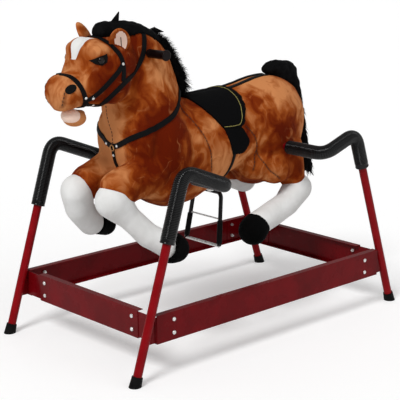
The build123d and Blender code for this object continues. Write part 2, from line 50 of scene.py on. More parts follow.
ENDS = {"front": -1, "rear": 1}


# Stand: four bent tube posts, folded sheet channels and corner brackets.
# Mild steel, powder coated in a deep glossy red after welding, with a faint orange peel.
# The folded sheet takes the same coat, its red set a shade darker than the posts' as painted shade; the
# horse's crossbars and rails match it.
TUBE_RED = ((0.3, (0.175, 0.0015, 0.0035, 1.0)), (0.7, (0.255, 0.0030, 0.0065, 1.0)))
# Same red as the posts, darkened: painted shade
SHEET_RED_PAINTED_SHADE = ((0.3, (0.100, 0.0008, 0.0022, 1.0)), (0.7, (0.155, 0.0016, 0.0040, 1.0)))
POWDER_COAT = {
    "mottle": 14.0, "detail": 5.0, "worn": (0.2, 0.34), "specular": 0.07,
    "coat": 0.03, "coat_roughness": 0.08, "grain": (420.0, 2.0), "bump": (0.06, 0.0004),
}
# Shader socket that each plain value of a look goes to
LOOK_SOCKETS = {
    "roughness": "Roughness", "specular": "Specular IOR Level", "metal": "Metallic",
    "coat": "Coat Weight", "coat_roughness": "Coat Roughness",
    "sheen": "Sheen Weight", "sheen_roughness": "Sheen Roughness", "tint": "Sheen Tint",
}
EVEN = (1.0, 1.0, 1.0)
# Most of a noise lies between these values
NOISE_LOW = 0.3
NOISE_HIGH = 0.7


def fresh_material(name):
    """New material with its node tree and its shader."""
    material = bpy.data.materials.new(name)
    material.use_nodes = True
    tree = material.node_tree
    return material, tree, tree.nodes["Principled BSDF"]


def add_noise(tree, scale, detail, stretch=EVEN, distortion=0.0):
    """Noise on object coordinates, stretched along the axes."""
    place = tree.nodes.new("ShaderNodeTexCoord")
    mapping = tree.nodes.new("ShaderNodeMapping")
    mapping.inputs["Scale"].default_value = stretch
    cloud = tree.nodes.new("ShaderNodeTexNoise")
    cloud.inputs["Scale"].default_value = scale
    cloud.inputs["Detail"].default_value = detail
    cloud.inputs["Distortion"].default_value = distortion
    tree.links.new(place.outputs["Object"], mapping.inputs["Vector"])
    tree.links.new(mapping.outputs["Vector"], cloud.inputs["Vector"])
    return cloud.outputs["Fac"]


def add_ramp(tree, value, stops):
    """Colour ramp over a value, as (position, colour) stops."""
    ramp = tree.nodes.new("ShaderNodeValToRGB")
    while len(ramp.color_ramp.elements) < len(stops):
        ramp.color_ramp.elements.new(1.0)
    for element, (position, colour) in zip(ramp.color_ramp.elements, stops):
        element.position = position
        element.color = colour
    tree.links.new(value, ramp.inputs["Fac"])
    return ramp.outputs["Color"]


def add_range(tree, value, low, high, start=NOISE_LOW, stop=NOISE_HIGH):
    """Value spread over a new range."""
    spread = tree.nodes.new("ShaderNodeMapRange")
    spread.inputs["From Min"].default_value = start
    spread.inputs["From Max"].default_value = stop
    spread.inputs["To Min"].default_value = low
    spread.inputs["To Max"].default_value = high
    tree.links.new(value, spread.inputs["Value"])
    return spread.outputs["Result"]


def add_bump(tree, shader, height, strength, distance, under=None):
    """Bump on the shader's normal, over an earlier bump if one is given."""
    bump = tree.nodes.new("ShaderNodeBump")
    bump.inputs["Strength"].default_value = strength
    bump.inputs["Distance"].default_value = distance
    tree.links.new(height, bump.inputs["Height"])
    if under is not None:
        tree.links.new(under, bump.inputs["Normal"])
    tree.links.new(bump.outputs["Normal"], shader.inputs["Normal"])
    return bump.outputs["Normal"]


def set_look(shader, look):
    """Set the plain values of a look on a shader."""
    for value, socket in LOOK_SOCKETS.items():
        if value in look:
            shader.inputs[socket].default_value = look[value]


def make_finish(name, look):
    """Material from a look: mottled colours, roughness that follows them, gloss and grain."""
    material, tree, shader = fresh_material(name)
    mottle = add_noise(tree, look["mottle"], look["detail"], look.get("stretch", EVEN))
    tree.links.new(add_ramp(tree, mottle, look["colours"]), shader.inputs["Base Color"])
    set_look(shader, look)
    if "worn" in look:
        tree.links.new(add_range(tree, mottle, *look["worn"]), shader.inputs["Roughness"])
    if "bump" in look:
        height = add_noise(tree, *look["grain"]) if "grain" in look else mottle
        add_bump(tree, shader, height, *look["bump"])
    return material


def coat_nodes(material, *names):
    """Give CAD nodes their finish."""
    for name in names:
        for place in nodes[name].material_slots:
            place.material = material


tube_paint = make_finish("red_tube_coat", {**POWDER_COAT, "colours": TUBE_RED})
sheet_paint_shaded = make_finish("red_sheet_coat", {**POWDER_COAT, "colours": SHEET_RED_PAINTED_SHADE})
coat_nodes(tube_paint, *[f"post_{end}_{side}" for end in ENDS for side in SIDES])
# Channels, brackets, crossbars, rails and neck tube take the darker red of painted shade
coat_nodes(sheet_paint_shaded, *[f"{place}_channel" for place in (*ENDS, *SIDES)])
coat_nodes(sheet_paint_shaded, "corner_brackets", "front_crossbar", "rear_crossbar", "seat_rails", "neck_tube")


# Feet and stirrup grips: moulded black rubber, pushed over the low ends of the posts and of the stirrup.
# Matt, with a fine moulded grain and patches of dust.
RUBBER = {
    "colours": ((0.35, (0.0025, 0.0025, 0.0025, 1.0)), (0.75, (0.0070, 0.0067, 0.0064, 1.0))),
    "mottle": 60.0, "detail": 6.0, "worn": (0.45, 0.65), "specular": 0.06,
    "grain": (900.0, 2.0), "bump": (0.15, 0.0004),
}

coat_nodes(make_finish("black_rubber", RUBBER), "foot_caps", "stirrup_grips")


# Fasteners and small rods: bright zinc-plated steel.
# Bolt heads hold the channels to the brackets; the tread, tie rod and belly plate belong to the stirrup.
ZINC = {
    "colours": ((0.3, (0.55, 0.55, 0.54, 1.0)), (0.7, (0.82, 0.82, 0.80, 1.0))),
    "mottle": 180.0, "detail": 4.0, "worn": (0.22, 0.42), "metal": 0.85,
    "grain": (700.0, 2.0), "bump": (0.08, 0.0003),
}

zinc = make_finish("zinc_plate", ZINC)
coat_nodes(zinc, "frame_bolts", "frame_nuts", "belly_plate", "belly_plate_bolts")
coat_nodes(zinc, "stirrup_tread", "stirrup_tie_rod")


# Stirrup hanger and handle: bent tube in glossy black enamel, hand grips in dark brown plastic.
# The hanger is bolted up against the belly plate and the hand grips are pushed over the bar.
ENAMEL = {
    "colours": ((0.4, (0.003, 0.003, 0.0035, 1.0)), (0.75, (0.008, 0.0075, 0.0075, 1.0))),
    "mottle": 35.0, "detail": 6.0, "worn": (0.18, 0.32), "specular": 0.22,
    "grain": (500.0, 3.0), "bump": (0.05, 0.0003),
}
GRIP_PLASTIC = {
    "colours": ((0.35, (0.0028, 0.0012, 0.0012, 1.0)), (0.7, (0.0075, 0.0026, 0.0024, 1.0))),
    "mottle": 45.0, "detail": 5.0, "worn": (0.28, 0.45), "specular": 0.12,
    "grain": (600.0, 3.0), "bump": (0.1, 0.0004),
}

coat_nodes(make_finish("black_enamel", ENAMEL), "stirrup_hanger", "handle_bar")
coat_nodes(make_finish("grip_plastic", GRIP_PLASTIC), "handle_grips")


# Springs and their sleeves: a steel coil over the two tube ends at each corner,
# hidden in a ribbed black plastic sleeve that runs from the post, round both bends, to the horse.
# Each is cut between the tube ends into a post half and a horse half.
POST_X = 0.300
FOOT_Y = 0.539
LEAN = math.tan(math.radians(17.85))
BEND_R = 0.041
TUBE_STUB = 0.010
# Share of the free run between the tube ends, from the post's end, where each is cut
BOUNCE_SHARE = 0.65
LINE_ORDER = 3
LINE_STEPS = 16
SLEEVE_R = 0.0205
SLEEVE_WALL = 0.0022
SLEEVE_INNER_X = 0.152
RIB_RISE = 0.0008
RIB_PITCH = 0.0045
RIB_SIDES = 26
RIB_CUTS = 3
# Heights of the sleeve's low end and of the post's bend, and the bar's place (y, z)
SLEEVE_ENDS = {
    "front": {"low": 0.380, "bend": 0.572, "bar": (-0.183, 0.502)},
    "rear": {"low": 0.469, "bend": 0.580, "bar": (0.215, 0.534)},
}
SLEEVE_PLASTIC = {
    "colours": ((0.35, (0.0014, 0.0014, 0.0016, 1.0)), (0.75, (0.0040, 0.0040, 0.0046, 1.0))),
    "mottle": 25.0, "detail": 6.0, "worn": (0.08, 0.14), "specular": 0.26,
    "grain": (800.0, 3.0), "bump": (0.06, 0.0003),
}
SPRING_STEEL = {
    "colours": ((0.35, (0.30, 0.30, 0.31, 1.0)), (0.7, (0.42, 0.41, 0.40, 1.0))),
    "mottle": 90.0, "detail": 4.0, "worn": (0.3, 0.5), "metal": 0.9,
}

sleeve_plastic = make_finish("sleeve_plastic", SLEEVE_PLASTIC)
spring_steel = make_finish("spring_steel", SPRING_STEEL)


def make_active(piece):
    """Select one object alone and make it active."""
    bpy.ops.object.select_all(action="DESELECT")
    piece.select_set(True)
    bpy.context.view_layer.objects.active = piece


def apply_modifier(piece, kind, **settings):
    """Add a modifier with its settings and apply it at once."""
    modifier = piece.modifiers.new(kind.lower(), kind)
    for setting, value in settings.items():
        setattr(modifier, setting, value)
    make_active(piece)
    bpy.ops.object.modifier_apply(modifier=modifier.name)


def new_object(name, data):
    """Object that holds some data, linked into the scene."""
    piece = bpy.data.objects.new(name, data)
    bpy.context.scene.collection.objects.link(piece)
    return piece


def copy_piece(piece, name):
    """Second object with its own mesh."""
    return new_object(name, piece.data.copy())


def cut_piece(piece, point, normal, fill=False):
    """Keep the part of a mesh behind a plane."""
    make_active(piece)
    bpy.ops.object.mode_set(mode="EDIT")
    bpy.ops.mesh.select_all(action="SELECT")
    bpy.ops.mesh.bisect(plane_co=point, plane_no=normal, clear_outer=True, use_fill=fill)
    bpy.ops.object.mode_set(mode="OBJECT")


def join_pieces(pieces, name):
    """Join objects into the first one."""
    make_active(pieces[0])
    for piece in pieces[1:]:
        piece.select_set(True)
    bpy.ops.object.join()
    joined = bpy.context.view_layer.objects.active
    joined.name = name
    return joined


def sleeve_route(side, end):
    """Corners of the sleeve's line: low end, post bend, bar bend and inner end."""
    place = SLEEVE_ENDS[end]
    sign = SIDES[side]
    outwards = ENDS[end]
    low = Vector((sign * POST_X, outwards * (FOOT_Y - place["low"] * LEAN), place["low"]))
    bend = Vector((sign * POST_X, outwards * (FOOT_Y - place["bend"] * LEAN), place["bend"]))
    bar_y, bar_z = place["bar"]
    corner = Vector((sign * POST_X, bar_y, bar_z))
    inner = Vector((sign * SLEEVE_INNER_X, bar_y, bar_z))
    return low, bend, corner, inner


def route_curve(name, route):
    """Smooth line through straight runs, with a control point each side of a bend to keep it tight."""
    points = [route[0]]
    for before, here, after in zip(route[:-2], route[1:-1], route[2:]):
        turn = (here - before).angle(after - here)
        tangent = 2.0 * BEND_R * math.tan(turn / 2)
        points.append(here + (before - here).normalized() * tangent)
        points.append(here)
        points.append(here + (after - here).normalized() * tangent)
    points.append(route[-1])
    curve = bpy.data.curves.new(name, "CURVE")
    curve.dimensions = "3D"
    spline = curve.splines.new("NURBS")
    spline.points.add(len(points) - 1)
    for control, point in zip(spline.points, points):
        control.co = (*point, 1.0)
    spline.order_u = LINE_ORDER
    spline.use_endpoint_u = True
    spline.resolution_u = LINE_STEPS
    return new_object(name, curve)


def rib_segment(name):
    """One rib of the sleeve: a short open tube with a swollen middle."""
    bpy.ops.mesh.primitive_cylinder_add(
        vertices=RIB_SIDES, radius=SLEEVE_R, depth=RIB_PITCH, end_fill_type="NOTHING",
        location=(0, 0, RIB_PITCH / 2),
    )
    segment = bpy.context.object
    segment.name = name
    bpy.ops.object.transform_apply(location=True, rotation=True, scale=True)
    bpy.ops.object.mode_set(mode="EDIT")
    shape = bmesh.from_edit_mesh(segment.data)
    for edge in shape.edges:
        edge.select_set(abs(edge.verts[0].co.z - edge.verts[1].co.z) > RIB_PITCH / 2)
    bmesh.update_edit_mesh(segment.data)
    bpy.ops.mesh.subdivide(number_cuts=RIB_CUTS)
    shape = bmesh.from_edit_mesh(segment.data)
    for vertex in shape.verts:
        rise = RIB_RISE * math.sin(math.pi * vertex.co.z / RIB_PITCH)
        vertex.co.xy *= 1.0 + rise / SLEEVE_R
    bmesh.update_edit_mesh(segment.data)
    bpy.ops.object.mode_set(mode="OBJECT")
    return segment


for end in ENDS:
    for side in SIDES:
        route = sleeve_route(side, end)
        line = route_curve("sleeve_line", route)
        length = line.data.splines[0].calc_length()
        tube = rib_segment(f"sleeve_tube_{end}_{side}")
        apply_modifier(
            tube, "ARRAY", count=round(length / RIB_PITCH), use_merge_vertices=True,
            use_relative_offset=False, use_constant_offset=True, constant_offset_displace=(0, 0, RIB_PITCH),
        )
        apply_modifier(tube, "CURVE", object=line, deform_axis="POS_Z")
        bpy.data.objects.remove(line)
        apply_modifier(tube, "SOLIDIFY", thickness=SLEEVE_WALL, offset=-1.0)
        make_active(tube)
        bpy.ops.object.shade_smooth()
        coil = copy_piece(nodes[f"spring_{end}_{side}"], f"coil_{end}_{side}")

        low, bend, corner, _ = route
        run = (corner - bend).normalized()
        post_turn = (bend - low).angle(run)
        post_stop = bend + run * (BEND_R * math.tan(post_turn / 2) + TUBE_STUB)
        bar_stop = corner - run * (BEND_R + TUBE_STUB)
        split = post_stop.lerp(bar_stop, BOUNCE_SHARE)
        for whole, node, material, slot in (
            (tube, f"sleeve_{end}_{side}", sleeve_plastic, "black_sleeve"),
            (coil, f"spring_{end}_{side}", spring_steel, "spring_steel"),
        ):
            whole.data.materials.clear()
            whole.data.materials.append(material)
            horse_half = copy_piece(whole, f"{whole.name}_horse_half")
            post_half = copy_piece(whole, f"{whole.name}_post_half")
            bpy.data.objects.remove(whole)
            cut_piece(post_half, split, run)
            cut_piece(horse_half, split, -run)
            for half in (post_half, horse_half):
                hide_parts(node)
            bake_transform(post_half)
            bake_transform(horse_half)


# Plush skin: torso, neck, head and upper legs are one sewn cover over firm fibre filling.
# Short cinnamon plush whose nap lies in brushed patches, tan where it is lifted or parted, with painted light
# and shade on some patches and painted shade along the seams, sewn from panels that swell between the seams.
# The forehead has a sewn-in white star.
SKIN_VOXEL = 0.006
SKIN_ROUND_STEPS = 12
ROUND_SHARE = 0.5
WELD_GAP = 0.00005
BALL_SEGMENTS = 32
BALL_RINGS = 20
LIMB_STEP = 0.014
SEAM_REACH = 0.010
SEAM_DEPTH = 0.0035
PUFF_CAP = 0.006
PUFF_FRAMES = 16
PUFF_CLOTH = {"quality": 4, "mass": 0.25, "use_pressure": True, "uniform_pressure_force": 4.0}
# Unevenness of the filling and crinkles of the plush, as (how fine, rise, seed)
SKIN_LUMPS = (9.0, 0.003, 3.0)
SKIN_CRINKLES = (34.0, 0.001, 7.0)
SKIN_NODES = ("torso", "neck", "head", "foreleg_uppers", "hind_leg_uppers")
FIRM_NODES = ("torso", "neck", "head")
# Upper legs from the body to the sock, as (place, radius)
UPPER_LEGS = (
    (((0.074, -0.290, 0.514), 0.064), ((0.080, -0.413, 0.496), 0.046)),
    (((-0.074, -0.290, 0.514), 0.064), ((-0.080, -0.412, 0.470), 0.046)),
    (((0.078, 0.262, 0.512), 0.066), ((0.098, 0.288, 0.418), 0.040)),
    (((-0.078, 0.262, 0.512), 0.066), ((-0.098, 0.264, 0.414), 0.038)),
)
# Muscle and face forms, as (place, half sizes), repeated on both sides
BULGES = {
    "cheek": ((0.046, -0.392, 0.792), (0.040, 0.056, 0.062)),
    "forehead": ((0.024, -0.445, 0.873), (0.040, 0.040, 0.046)),
    "face": ((0.040, -0.444, 0.850), (0.032, 0.038, 0.045)),
    "brow": ((0.051, -0.438, 0.885), (0.025, 0.035, 0.022)),
    "lip": ((0.024, -0.526, 0.770), (0.036, 0.040, 0.042)),
    "nostril": ((0.038, -0.530, 0.784), (0.018, 0.024, 0.020)),
    "breast": ((0.072, -0.312, 0.606), (0.040, 0.039, 0.105)),
    "shoulder": ((0.082, -0.212, 0.562), (0.054, 0.084, 0.122)),
    "knee": ((0.080, -0.390, 0.486), (0.052, 0.052, 0.046)),
    "elbow": ((0.078, -0.232, 0.482), (0.060, 0.100, 0.056)),
    "haunch": ((0.074, 0.240, 0.545), (0.064, 0.080, 0.130)),
    "stifle": ((0.098, 0.212, 0.464), (0.044, 0.074, 0.052)),
    "flank": ((0.072, 0.155, 0.485), (0.055, 0.085, 0.060)),
    "groin": ((0.040, 0.170, 0.456), (0.055, 0.080, 0.048)),
}
# Seams on each flank, as points (y, z) of the side view, with the least distance from the middle
SEAMS = {
    "muzzle": (((-0.553, 0.781), (-0.556, 0.760), (-0.552, 0.737)), 0.014),
    "shoulder": (
        ((-0.165, 0.711), (-0.140, 0.666), (-0.112, 0.612), (-0.093, 0.560), (-0.080, 0.480)),
        0.050,
    ),
    "flank": (
        ((0.058, 0.618), (0.078, 0.600), (0.095, 0.580), (0.106, 0.555), (0.111, 0.536), (0.100, 0.470)),
        0.050,
    ),
    "thigh": (((0.111, 0.536), (0.128, 0.500), (0.160, 0.462), (0.199, 0.432)), 0.050),
}
BACK_SEAM_FROM = -0.30
THROAT_SEAM = ((0.0, 0.604), (0.0, 0.712))
STITCH_STEP = 0.0035
STITCH_R = 0.0012
CAST_FROM = 0.45
# Half widths of the star down the forehead, as (way back and down from the poll, half width)
STAR_TOP_Z = 0.920
STAR_LEAST_Z = 0.850
STAR_WIDTHS = ((0.430, 0.016), (0.448, 0.026), (0.490, 0.026), (0.548, 0.009))
# Where the plush is lighter or darker, as (place, reach, rise): partly nap brushed up or down, partly painted
# light and shade
NAP_AND_PAINTED_LIGHT = {
    "muzzle": ((0.020, -0.535, 0.775), 0.085, 0.25),
    "forehead": ((0.030, -0.440, 0.905), 0.060, 0.14),
    "eyelid": ((0.072, -0.440, 0.890), 0.028, 0.12),
    "cheek": ((0.080, -0.430, 0.810), 0.085, -0.17),
    "nape": ((0.050, -0.230, 0.800), 0.060, 0.09),
    "throat": ((0.035, -0.380, 0.660), 0.050, 0.16),
    "neck": ((0.070, -0.320, 0.720), 0.080, -0.05),
    # Lit far edge of the breast: painted light
    "far_breast": ((-0.040, -0.360, 0.590), 0.070, 0.40),
    "shoulder": ((0.120, -0.230, 0.600), 0.110, -0.08),
    "ribs": ((0.130, -0.060, 0.530), 0.070, 0.07),
    "belly": ((0.100, 0.010, 0.455), 0.080, 0.11),
    "rump_top": ((0.070, 0.220, 0.700), 0.080, 0.06),
    # Lit back along the spine: painted light
    "back_ridge": ((-0.010, 0.180, 0.745), 0.060, 0.25),
    "haunch": ((0.130, 0.225, 0.600), 0.080, -0.06),
    "rump_edge": ((0.080, 0.370, 0.600), 0.090, 0.14),
    "thigh": ((0.130, 0.160, 0.470), 0.060, 0.12),
    "flank": ((0.120, 0.130, 0.600), 0.070, -0.06),
    "stifle": ((0.130, 0.265, 0.450), 0.055, -0.06),
}
NAP_COLOURS = (
    (0.38, (0.110, 0.0085, 0.0005, 1.0)), (0.465, (0.185, 0.0240, 0.0018, 1.0)),
    (0.535, (0.310, 0.0660, 0.0095, 1.0)), (0.64, (0.570, 0.222, 0.080, 1.0)),
)
# Marks and painted shade over the nap, the darker plush in the seam grooves being painted shade and the star
# a sewn white patch, as (values kept on the mesh, least and most cover, values there, colour)
NAP_MARKS_AND_SEAM_SHADE = (
    # Painted shade along the sunk seams
    ("seam", (0.0, 0.6), (0.45, 1.0), (0.070, 0.010, 0.002, 1.0)),
    ("star", (0.0, 1.0), (0.0, 0.0015), (0.76, 0.755, 0.74, 1.0)),
)
# Noise of the nap, as (scale, detail, stretch, distortion): broad patches, short strokes, partings and pile
NAP_PATCHES = (7.0, 2.0, (1.0, 1.0, 0.8), 0.5)
NAP_STROKES = (24.0, 4.0, (1.0, 1.0, 0.8), 1.0)
NAP_PARTINGS = (8.0, 2.0, EVEN, 0.7)
NAP_PILE = (850.0, 3.0, (1.0, 1.0, 0.4), 0.0)
PATCH_SHARE = 0.62
STROKE_SHARE = 0.38
PARTING_LEVEL = 0.5
PARTING_HALF = 0.012
PARTING_SHARE = 0.35
PARTING_STROKES = (0.45, 0.62)
STROKE_BUMP = (0.3, 0.004)
PILE_BUMP = (0.45, 0.0016)
PLUSH = {"roughness": 0.9, "specular": 0.05, "sheen": 0.05, "sheen_roughness": 0.4}
CINNAMON_PLUSH = {
    **PLUSH, "colours": NAP_COLOURS, "marks_and_seam_shade": NAP_MARKS_AND_SEAM_SHADE, "lift": 1.0, "tint": (1.0, 0.60, 0.34, 1.0),
}
SEAM_THREAD = {
    "colours": ((0.35, (0.018, 0.006, 0.003, 1.0)), (0.7, (0.050, 0.016, 0.006, 1.0))),
    "mottle": 900.0, "detail": 2.0, "roughness": 0.8,
}


def weld_points(piece, gap):
    """Merge the points of a mesh that lie closer than a gap."""
    make_active(piece)
    bpy.ops.object.mode_set(mode="EDIT")
    bpy.ops.mesh.select_all(action="SELECT")
    bpy.ops.mesh.remove_doubles(threshold=gap)
    bpy.ops.object.mode_set(mode="OBJECT")


def node_form(node):
    """Welded copy of a CAD solid, to start a stuffed form from."""
    form = copy_piece(nodes[node], f"{node}_form")
    weld_points(form, WELD_GAP)
    return form


def plump(place, half_sizes, turn=(0.0, 0.0, 0.0)):
    """Rounded lump to join into a stuffed form."""
    bpy.ops.mesh.primitive_uv_sphere_add(
        segments=BALL_SEGMENTS, ring_count=BALL_RINGS, radius=1.0,
        location=place, rotation=turn, scale=half_sizes,
    )
    bpy.ops.object.transform_apply(location=True, rotation=True, scale=True)
    return bpy.context.object


def on_side(place, sign):
    """Same place on the left or right side."""
    return Vector((sign * place[0], place[1], place[2]))


def round_off(piece, steps):
    """Smooth a mesh in small steps."""
    apply_modifier(piece, "SMOOTH", factor=ROUND_SHARE, iterations=steps)


def weld_forms(forms, name, voxel, steps):
    """One closed skin around several forms, with its creases rounded."""
    skin = join_pieces(forms, name)
    apply_modifier(skin, "REMESH", mode="VOXEL", voxel_size=voxel)
    round_off(skin, steps)
    return skin


def limb(points):
    """Round forms strung along a leg, as (place, radius), close enough to read as one tube."""
    forms = []
    for (start, start_r), (stop, stop_r) in zip(points[:-1], points[1:]):
        count = math.ceil((Vector(stop) - Vector(start)).length / LIMB_STEP)
        for index in range(count + 1):
            radius = start_r + (stop_r - start_r) * index / count
            forms.append(plump(Vector(start).lerp(Vector(stop), index / count), (radius,) * 3))
    return forms


def line_distance(point, line):
    """Distance in the side view from a point to a line of points."""
    away = []
    for start, stop in zip(line[:-1], line[1:]):
        run = Vector(stop) - Vector(start)
        share = max(0.0, min(1.0, (point - Vector(start)).dot(run) / run.length_squared))
        away.append((point - Vector(start) - run * share).length)
    return min(away)


def seam_nearness(place):
    """One on a sewn seam, falling to zero beside it."""
    flat = Vector((place.y, place.z))
    away = [line_distance(flat, line) for line, least_x in SEAMS.values() if abs(place.x) > least_x]
    if place.y > BACK_SEAM_FROM:
        away.append(abs(place.x))
    return max(0.0, 1.0 - min(away) / SEAM_REACH) if away else 0.0


def puff_up(skin, held):
    """Blow a sewn cover up with cloth simulation, holding some points, and cap how far it swells."""
    pins = skin.vertex_groups.new(name="held")
    for index, weight in enumerate(held):
        pins.add([index], weight, "REPLACE")
    start = [vertex.co.copy() for vertex in skin.data.vertices]
    cloth = skin.modifiers.new("filling", "CLOTH")
    for setting, value in PUFF_CLOTH.items():
        setattr(cloth.settings, setting, value)
    cloth.settings.effector_weights.gravity = 0.0
    cloth.settings.vertex_group_mass = pins.name
    cloth.collision_settings.use_collision = False
    cloth.point_cache.frame_start = 1
    cloth.point_cache.frame_end = PUFF_FRAMES
    scene = bpy.context.scene
    for step in range(1, PUFF_FRAMES + 1):
        scene.frame_set(step)
    settled = skin.evaluated_get(bpy.context.evaluated_depsgraph_get())
    swollen = [vertex.co.copy() for vertex in settled.data.vertices]
    skin.modifiers.remove(cloth)
    scene.frame_set(1)
    for vertex, rest, puffed in zip(skin.data.vertices, start, swollen):
        move = puffed - rest
        if move.length > PUFF_CAP:
            move = move.normalized() * PUFF_CAP
        vertex.co = rest + move
    skin.vertex_groups.remove(pins)


def push_along_normals(skin, rises):
    """Move every point of a mesh along its normal."""
    normals = [vertex.normal.copy() for vertex in skin.data.vertices]
    for vertex, normal, rise in zip(skin.data.vertices, normals, rises):
        vertex.co += normal * rise


def roughen(skin, size, rise, seed):
    """Push the surface in and out with soft noise."""
    offset = Vector((seed, 0.0, 0.0))
    push_along_normals(skin, [rise * noise.noise(vertex.co * size + offset) for vertex in skin.data.vertices])


def inside_star(place):
    """How far a point is inside the star, below zero outside it."""
    way = STAR_TOP_Z - place.z - place.y
    inside = min(way - STAR_WIDTHS[0][0], STAR_WIDTHS[-1][0] - way, place.z - STAR_LEAST_Z)
    for (way0, half0), (way1, half1) in zip(STAR_WIDTHS[:-1], STAR_WIDTHS[1:]):
        if way0 <= way <= way1:
            half = half0 + (half1 - half0) * (way - way0) / (way1 - way0)
            inside = min(inside, half - abs(place.x))
    return inside


def nap_and_painted_light_rise(place):
    """How much lighter the plush is at a point, from brushed nap and painted light."""
    rise = 0.0
    for centre, reach, height in NAP_AND_PAINTED_LIGHT.values():
        rise += height * math.exp(-((place - Vector(centre)).length / reach) ** 2)
    return rise


def store_values(piece, name, values):
    """Keep one number per point on a mesh, for its material."""
    layer = piece.data.attributes.new(name, "FLOAT", "POINT")
    layer.data.foreach_set("value", values)


def add_value(tree, name):
    """Read numbers kept on the mesh."""
    reader = tree.nodes.new("ShaderNodeAttribute")
    reader.attribute_name = name
    return reader.outputs["Fac"]


def mix_colour(tree, share, first, second):
    """Mix two colours, each a socket or a fixed colour, by a share."""
    mix = tree.nodes.new("ShaderNodeMix")
    mix.data_type = "RGBA"
    tree.links.new(share, mix.inputs["Factor"])
    for socket, colour in ((mix.inputs[6], first), (mix.inputs[7], second)):
        if isinstance(colour, tuple):
            socket.default_value = colour
        else:
            tree.links.new(colour, socket)
    return mix.outputs[2]


def add_math(tree, operation, first, second):
    """Reckon with two values, each a socket or a number."""
    node = tree.nodes.new("ShaderNodeMath")
    node.operation = operation
    for socket, value in zip(node.inputs, (first, second)):
        if isinstance(value, float):
            socket.default_value = value
        else:
            tree.links.new(value, socket)
    return node.outputs["Value"]


def make_plush(name, look):
    """Brushed plush: patches and short strokes of nap, lighter where the pile parts and where light is
    painted on, under its marks and painted seam shade.
    """
    material, tree, shader = fresh_material(name)
    strokes = add_noise(tree, *NAP_STROKES)
    nap = add_math(tree, "MULTIPLY", add_noise(tree, *NAP_PATCHES), PATCH_SHARE)
    nap = add_math(tree, "ADD", nap, add_math(tree, "MULTIPLY", strokes, STROKE_SHARE))
    # Painted light and shade, together with the brushed nap, kept on the mesh
    nap = add_math(tree, "ADD", nap, add_value(tree, "brushed"))
    colour = add_ramp(tree, nap, look["colours"])
    folds = add_math(tree, "SUBTRACT", add_noise(tree, *NAP_PARTINGS), PARTING_LEVEL)
    folds = add_math(tree, "ABSOLUTE", folds, 0.0)
    parting = add_range(tree, folds, PARTING_SHARE, 0.0, 0.0, PARTING_HALF)
    parting = add_math(tree, "MULTIPLY", parting, add_range(tree, strokes, 0.0, 1.0, *PARTING_STROKES))
    _, lifted = look["colours"][-1]
    colour = mix_colour(tree, parting, colour, lifted)
    # Marks and painted seam shade over the nap colour
    for values, cover, span, mark_and_shade in look.get("marks_and_seam_shade", ()):
        colour = mix_colour(tree, add_range(tree, add_value(tree, values), *cover, *span), colour, mark_and_shade)
    tree.links.new(colour, shader.inputs["Base Color"])
    strength, distance = STROKE_BUMP
    clump = add_bump(tree, shader, strokes, strength * look["lift"], distance)
    strength, distance = PILE_BUMP
    add_bump(tree, shader, add_noise(tree, *NAP_PILE), strength * look["lift"], distance, clump)
    set_look(shader, look)
    return material


def surface_of(piece):
    """Search tree of a mesh, to find places on its surface."""
    return BVHTree.FromObject(piece, bpy.context.evaluated_depsgraph_get())


def side_point(surface, y, z, sign):
    """Place on a surface, looked up from the left or right."""
    place, normal, _, _ = surface.ray_cast(Vector((sign * CAST_FROM, y, z)), Vector((-sign, 0.0, 0.0)))
    return place, normal


def front_point(surface, x, z):
    """Place on a surface, looked up from the front."""
    place, normal, _, _ = surface.ray_cast(Vector((x, -2 * CAST_FROM, z)), Vector((0.0, 1.0, 0.0)))
    return place, normal


def spaced_points(line, step):
    """Points at an even step along a line of points of the side view."""
    points = []
    for start, stop in zip(line[:-1], line[1:]):
        run = Vector(stop) - Vector(start)
        count = max(1, round(run.length / step))
        points += [Vector(start) + run * index / count for index in range(count)]
    return points + [Vector(line[-1])]


def thread_curve(name, runs, radius):
    """Round threads along runs of points, as one mesh."""
    curve = bpy.data.curves.new(name, "CURVE")
    curve.dimensions = "3D"
    curve.bevel_depth = radius
    curve.bevel_resolution = 1
    for run in runs:
        spline = curve.splines.new("POLY")
        spline.points.add(len(run) - 1)
        for control, point in zip(spline.points, run):
            control.co = (*point, 1.0)
    make_active(new_object(name, curve))
    bpy.ops.object.convert(target="MESH")
    return bpy.context.object


def fix_piece(piece, material, body="horse"):
    """Give a piece its material and the body that it rides on."""
    piece.data.materials.clear()
    piece.data.materials.append(material)
    make_active(piece)
    bpy.ops.object.shade_smooth()
    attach(piece, body)


def fix_stuffed(piece, material, stands_for, body="horse"):
    """Fix a stuffed piece in the place of its CAD nodes."""
    fix_piece(piece, material, body)
    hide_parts(*stands_for)


forms = [node_form(node) for node in FIRM_NODES]
for leg in UPPER_LEGS:
    forms += limb(leg)
for place, half_sizes in BULGES.values():
    for sign in SIDES.values():
        forms.append(plump(on_side(place, sign), half_sizes))
skin = weld_forms(forms, "plush_skin", SKIN_VOXEL, SKIN_ROUND_STEPS)
seam_share = [seam_nearness(vertex.co) for vertex in skin.data.vertices]
puff_up(skin, seam_share)
push_along_normals(skin, [-SEAM_DEPTH * share for share in seam_share])
roughen(skin, *SKIN_LUMPS)
roughen(skin, *SKIN_CRINKLES)
# Nearness to the seams, also kept for the painted shade along them
store_values(skin, "seam", seam_share)
store_values(skin, "brushed", [nap_and_painted_light_rise(vertex.co) for vertex in skin.data.vertices])
store_values(skin, "star", [inside_star(vertex.co) for vertex in skin.data.vertices])
brown_plush = make_plush("cinnamon_plush", CINNAMON_PLUSH)
fix_stuffed(skin, brown_plush, SKIN_NODES)
skin_surface = surface_of(skin)

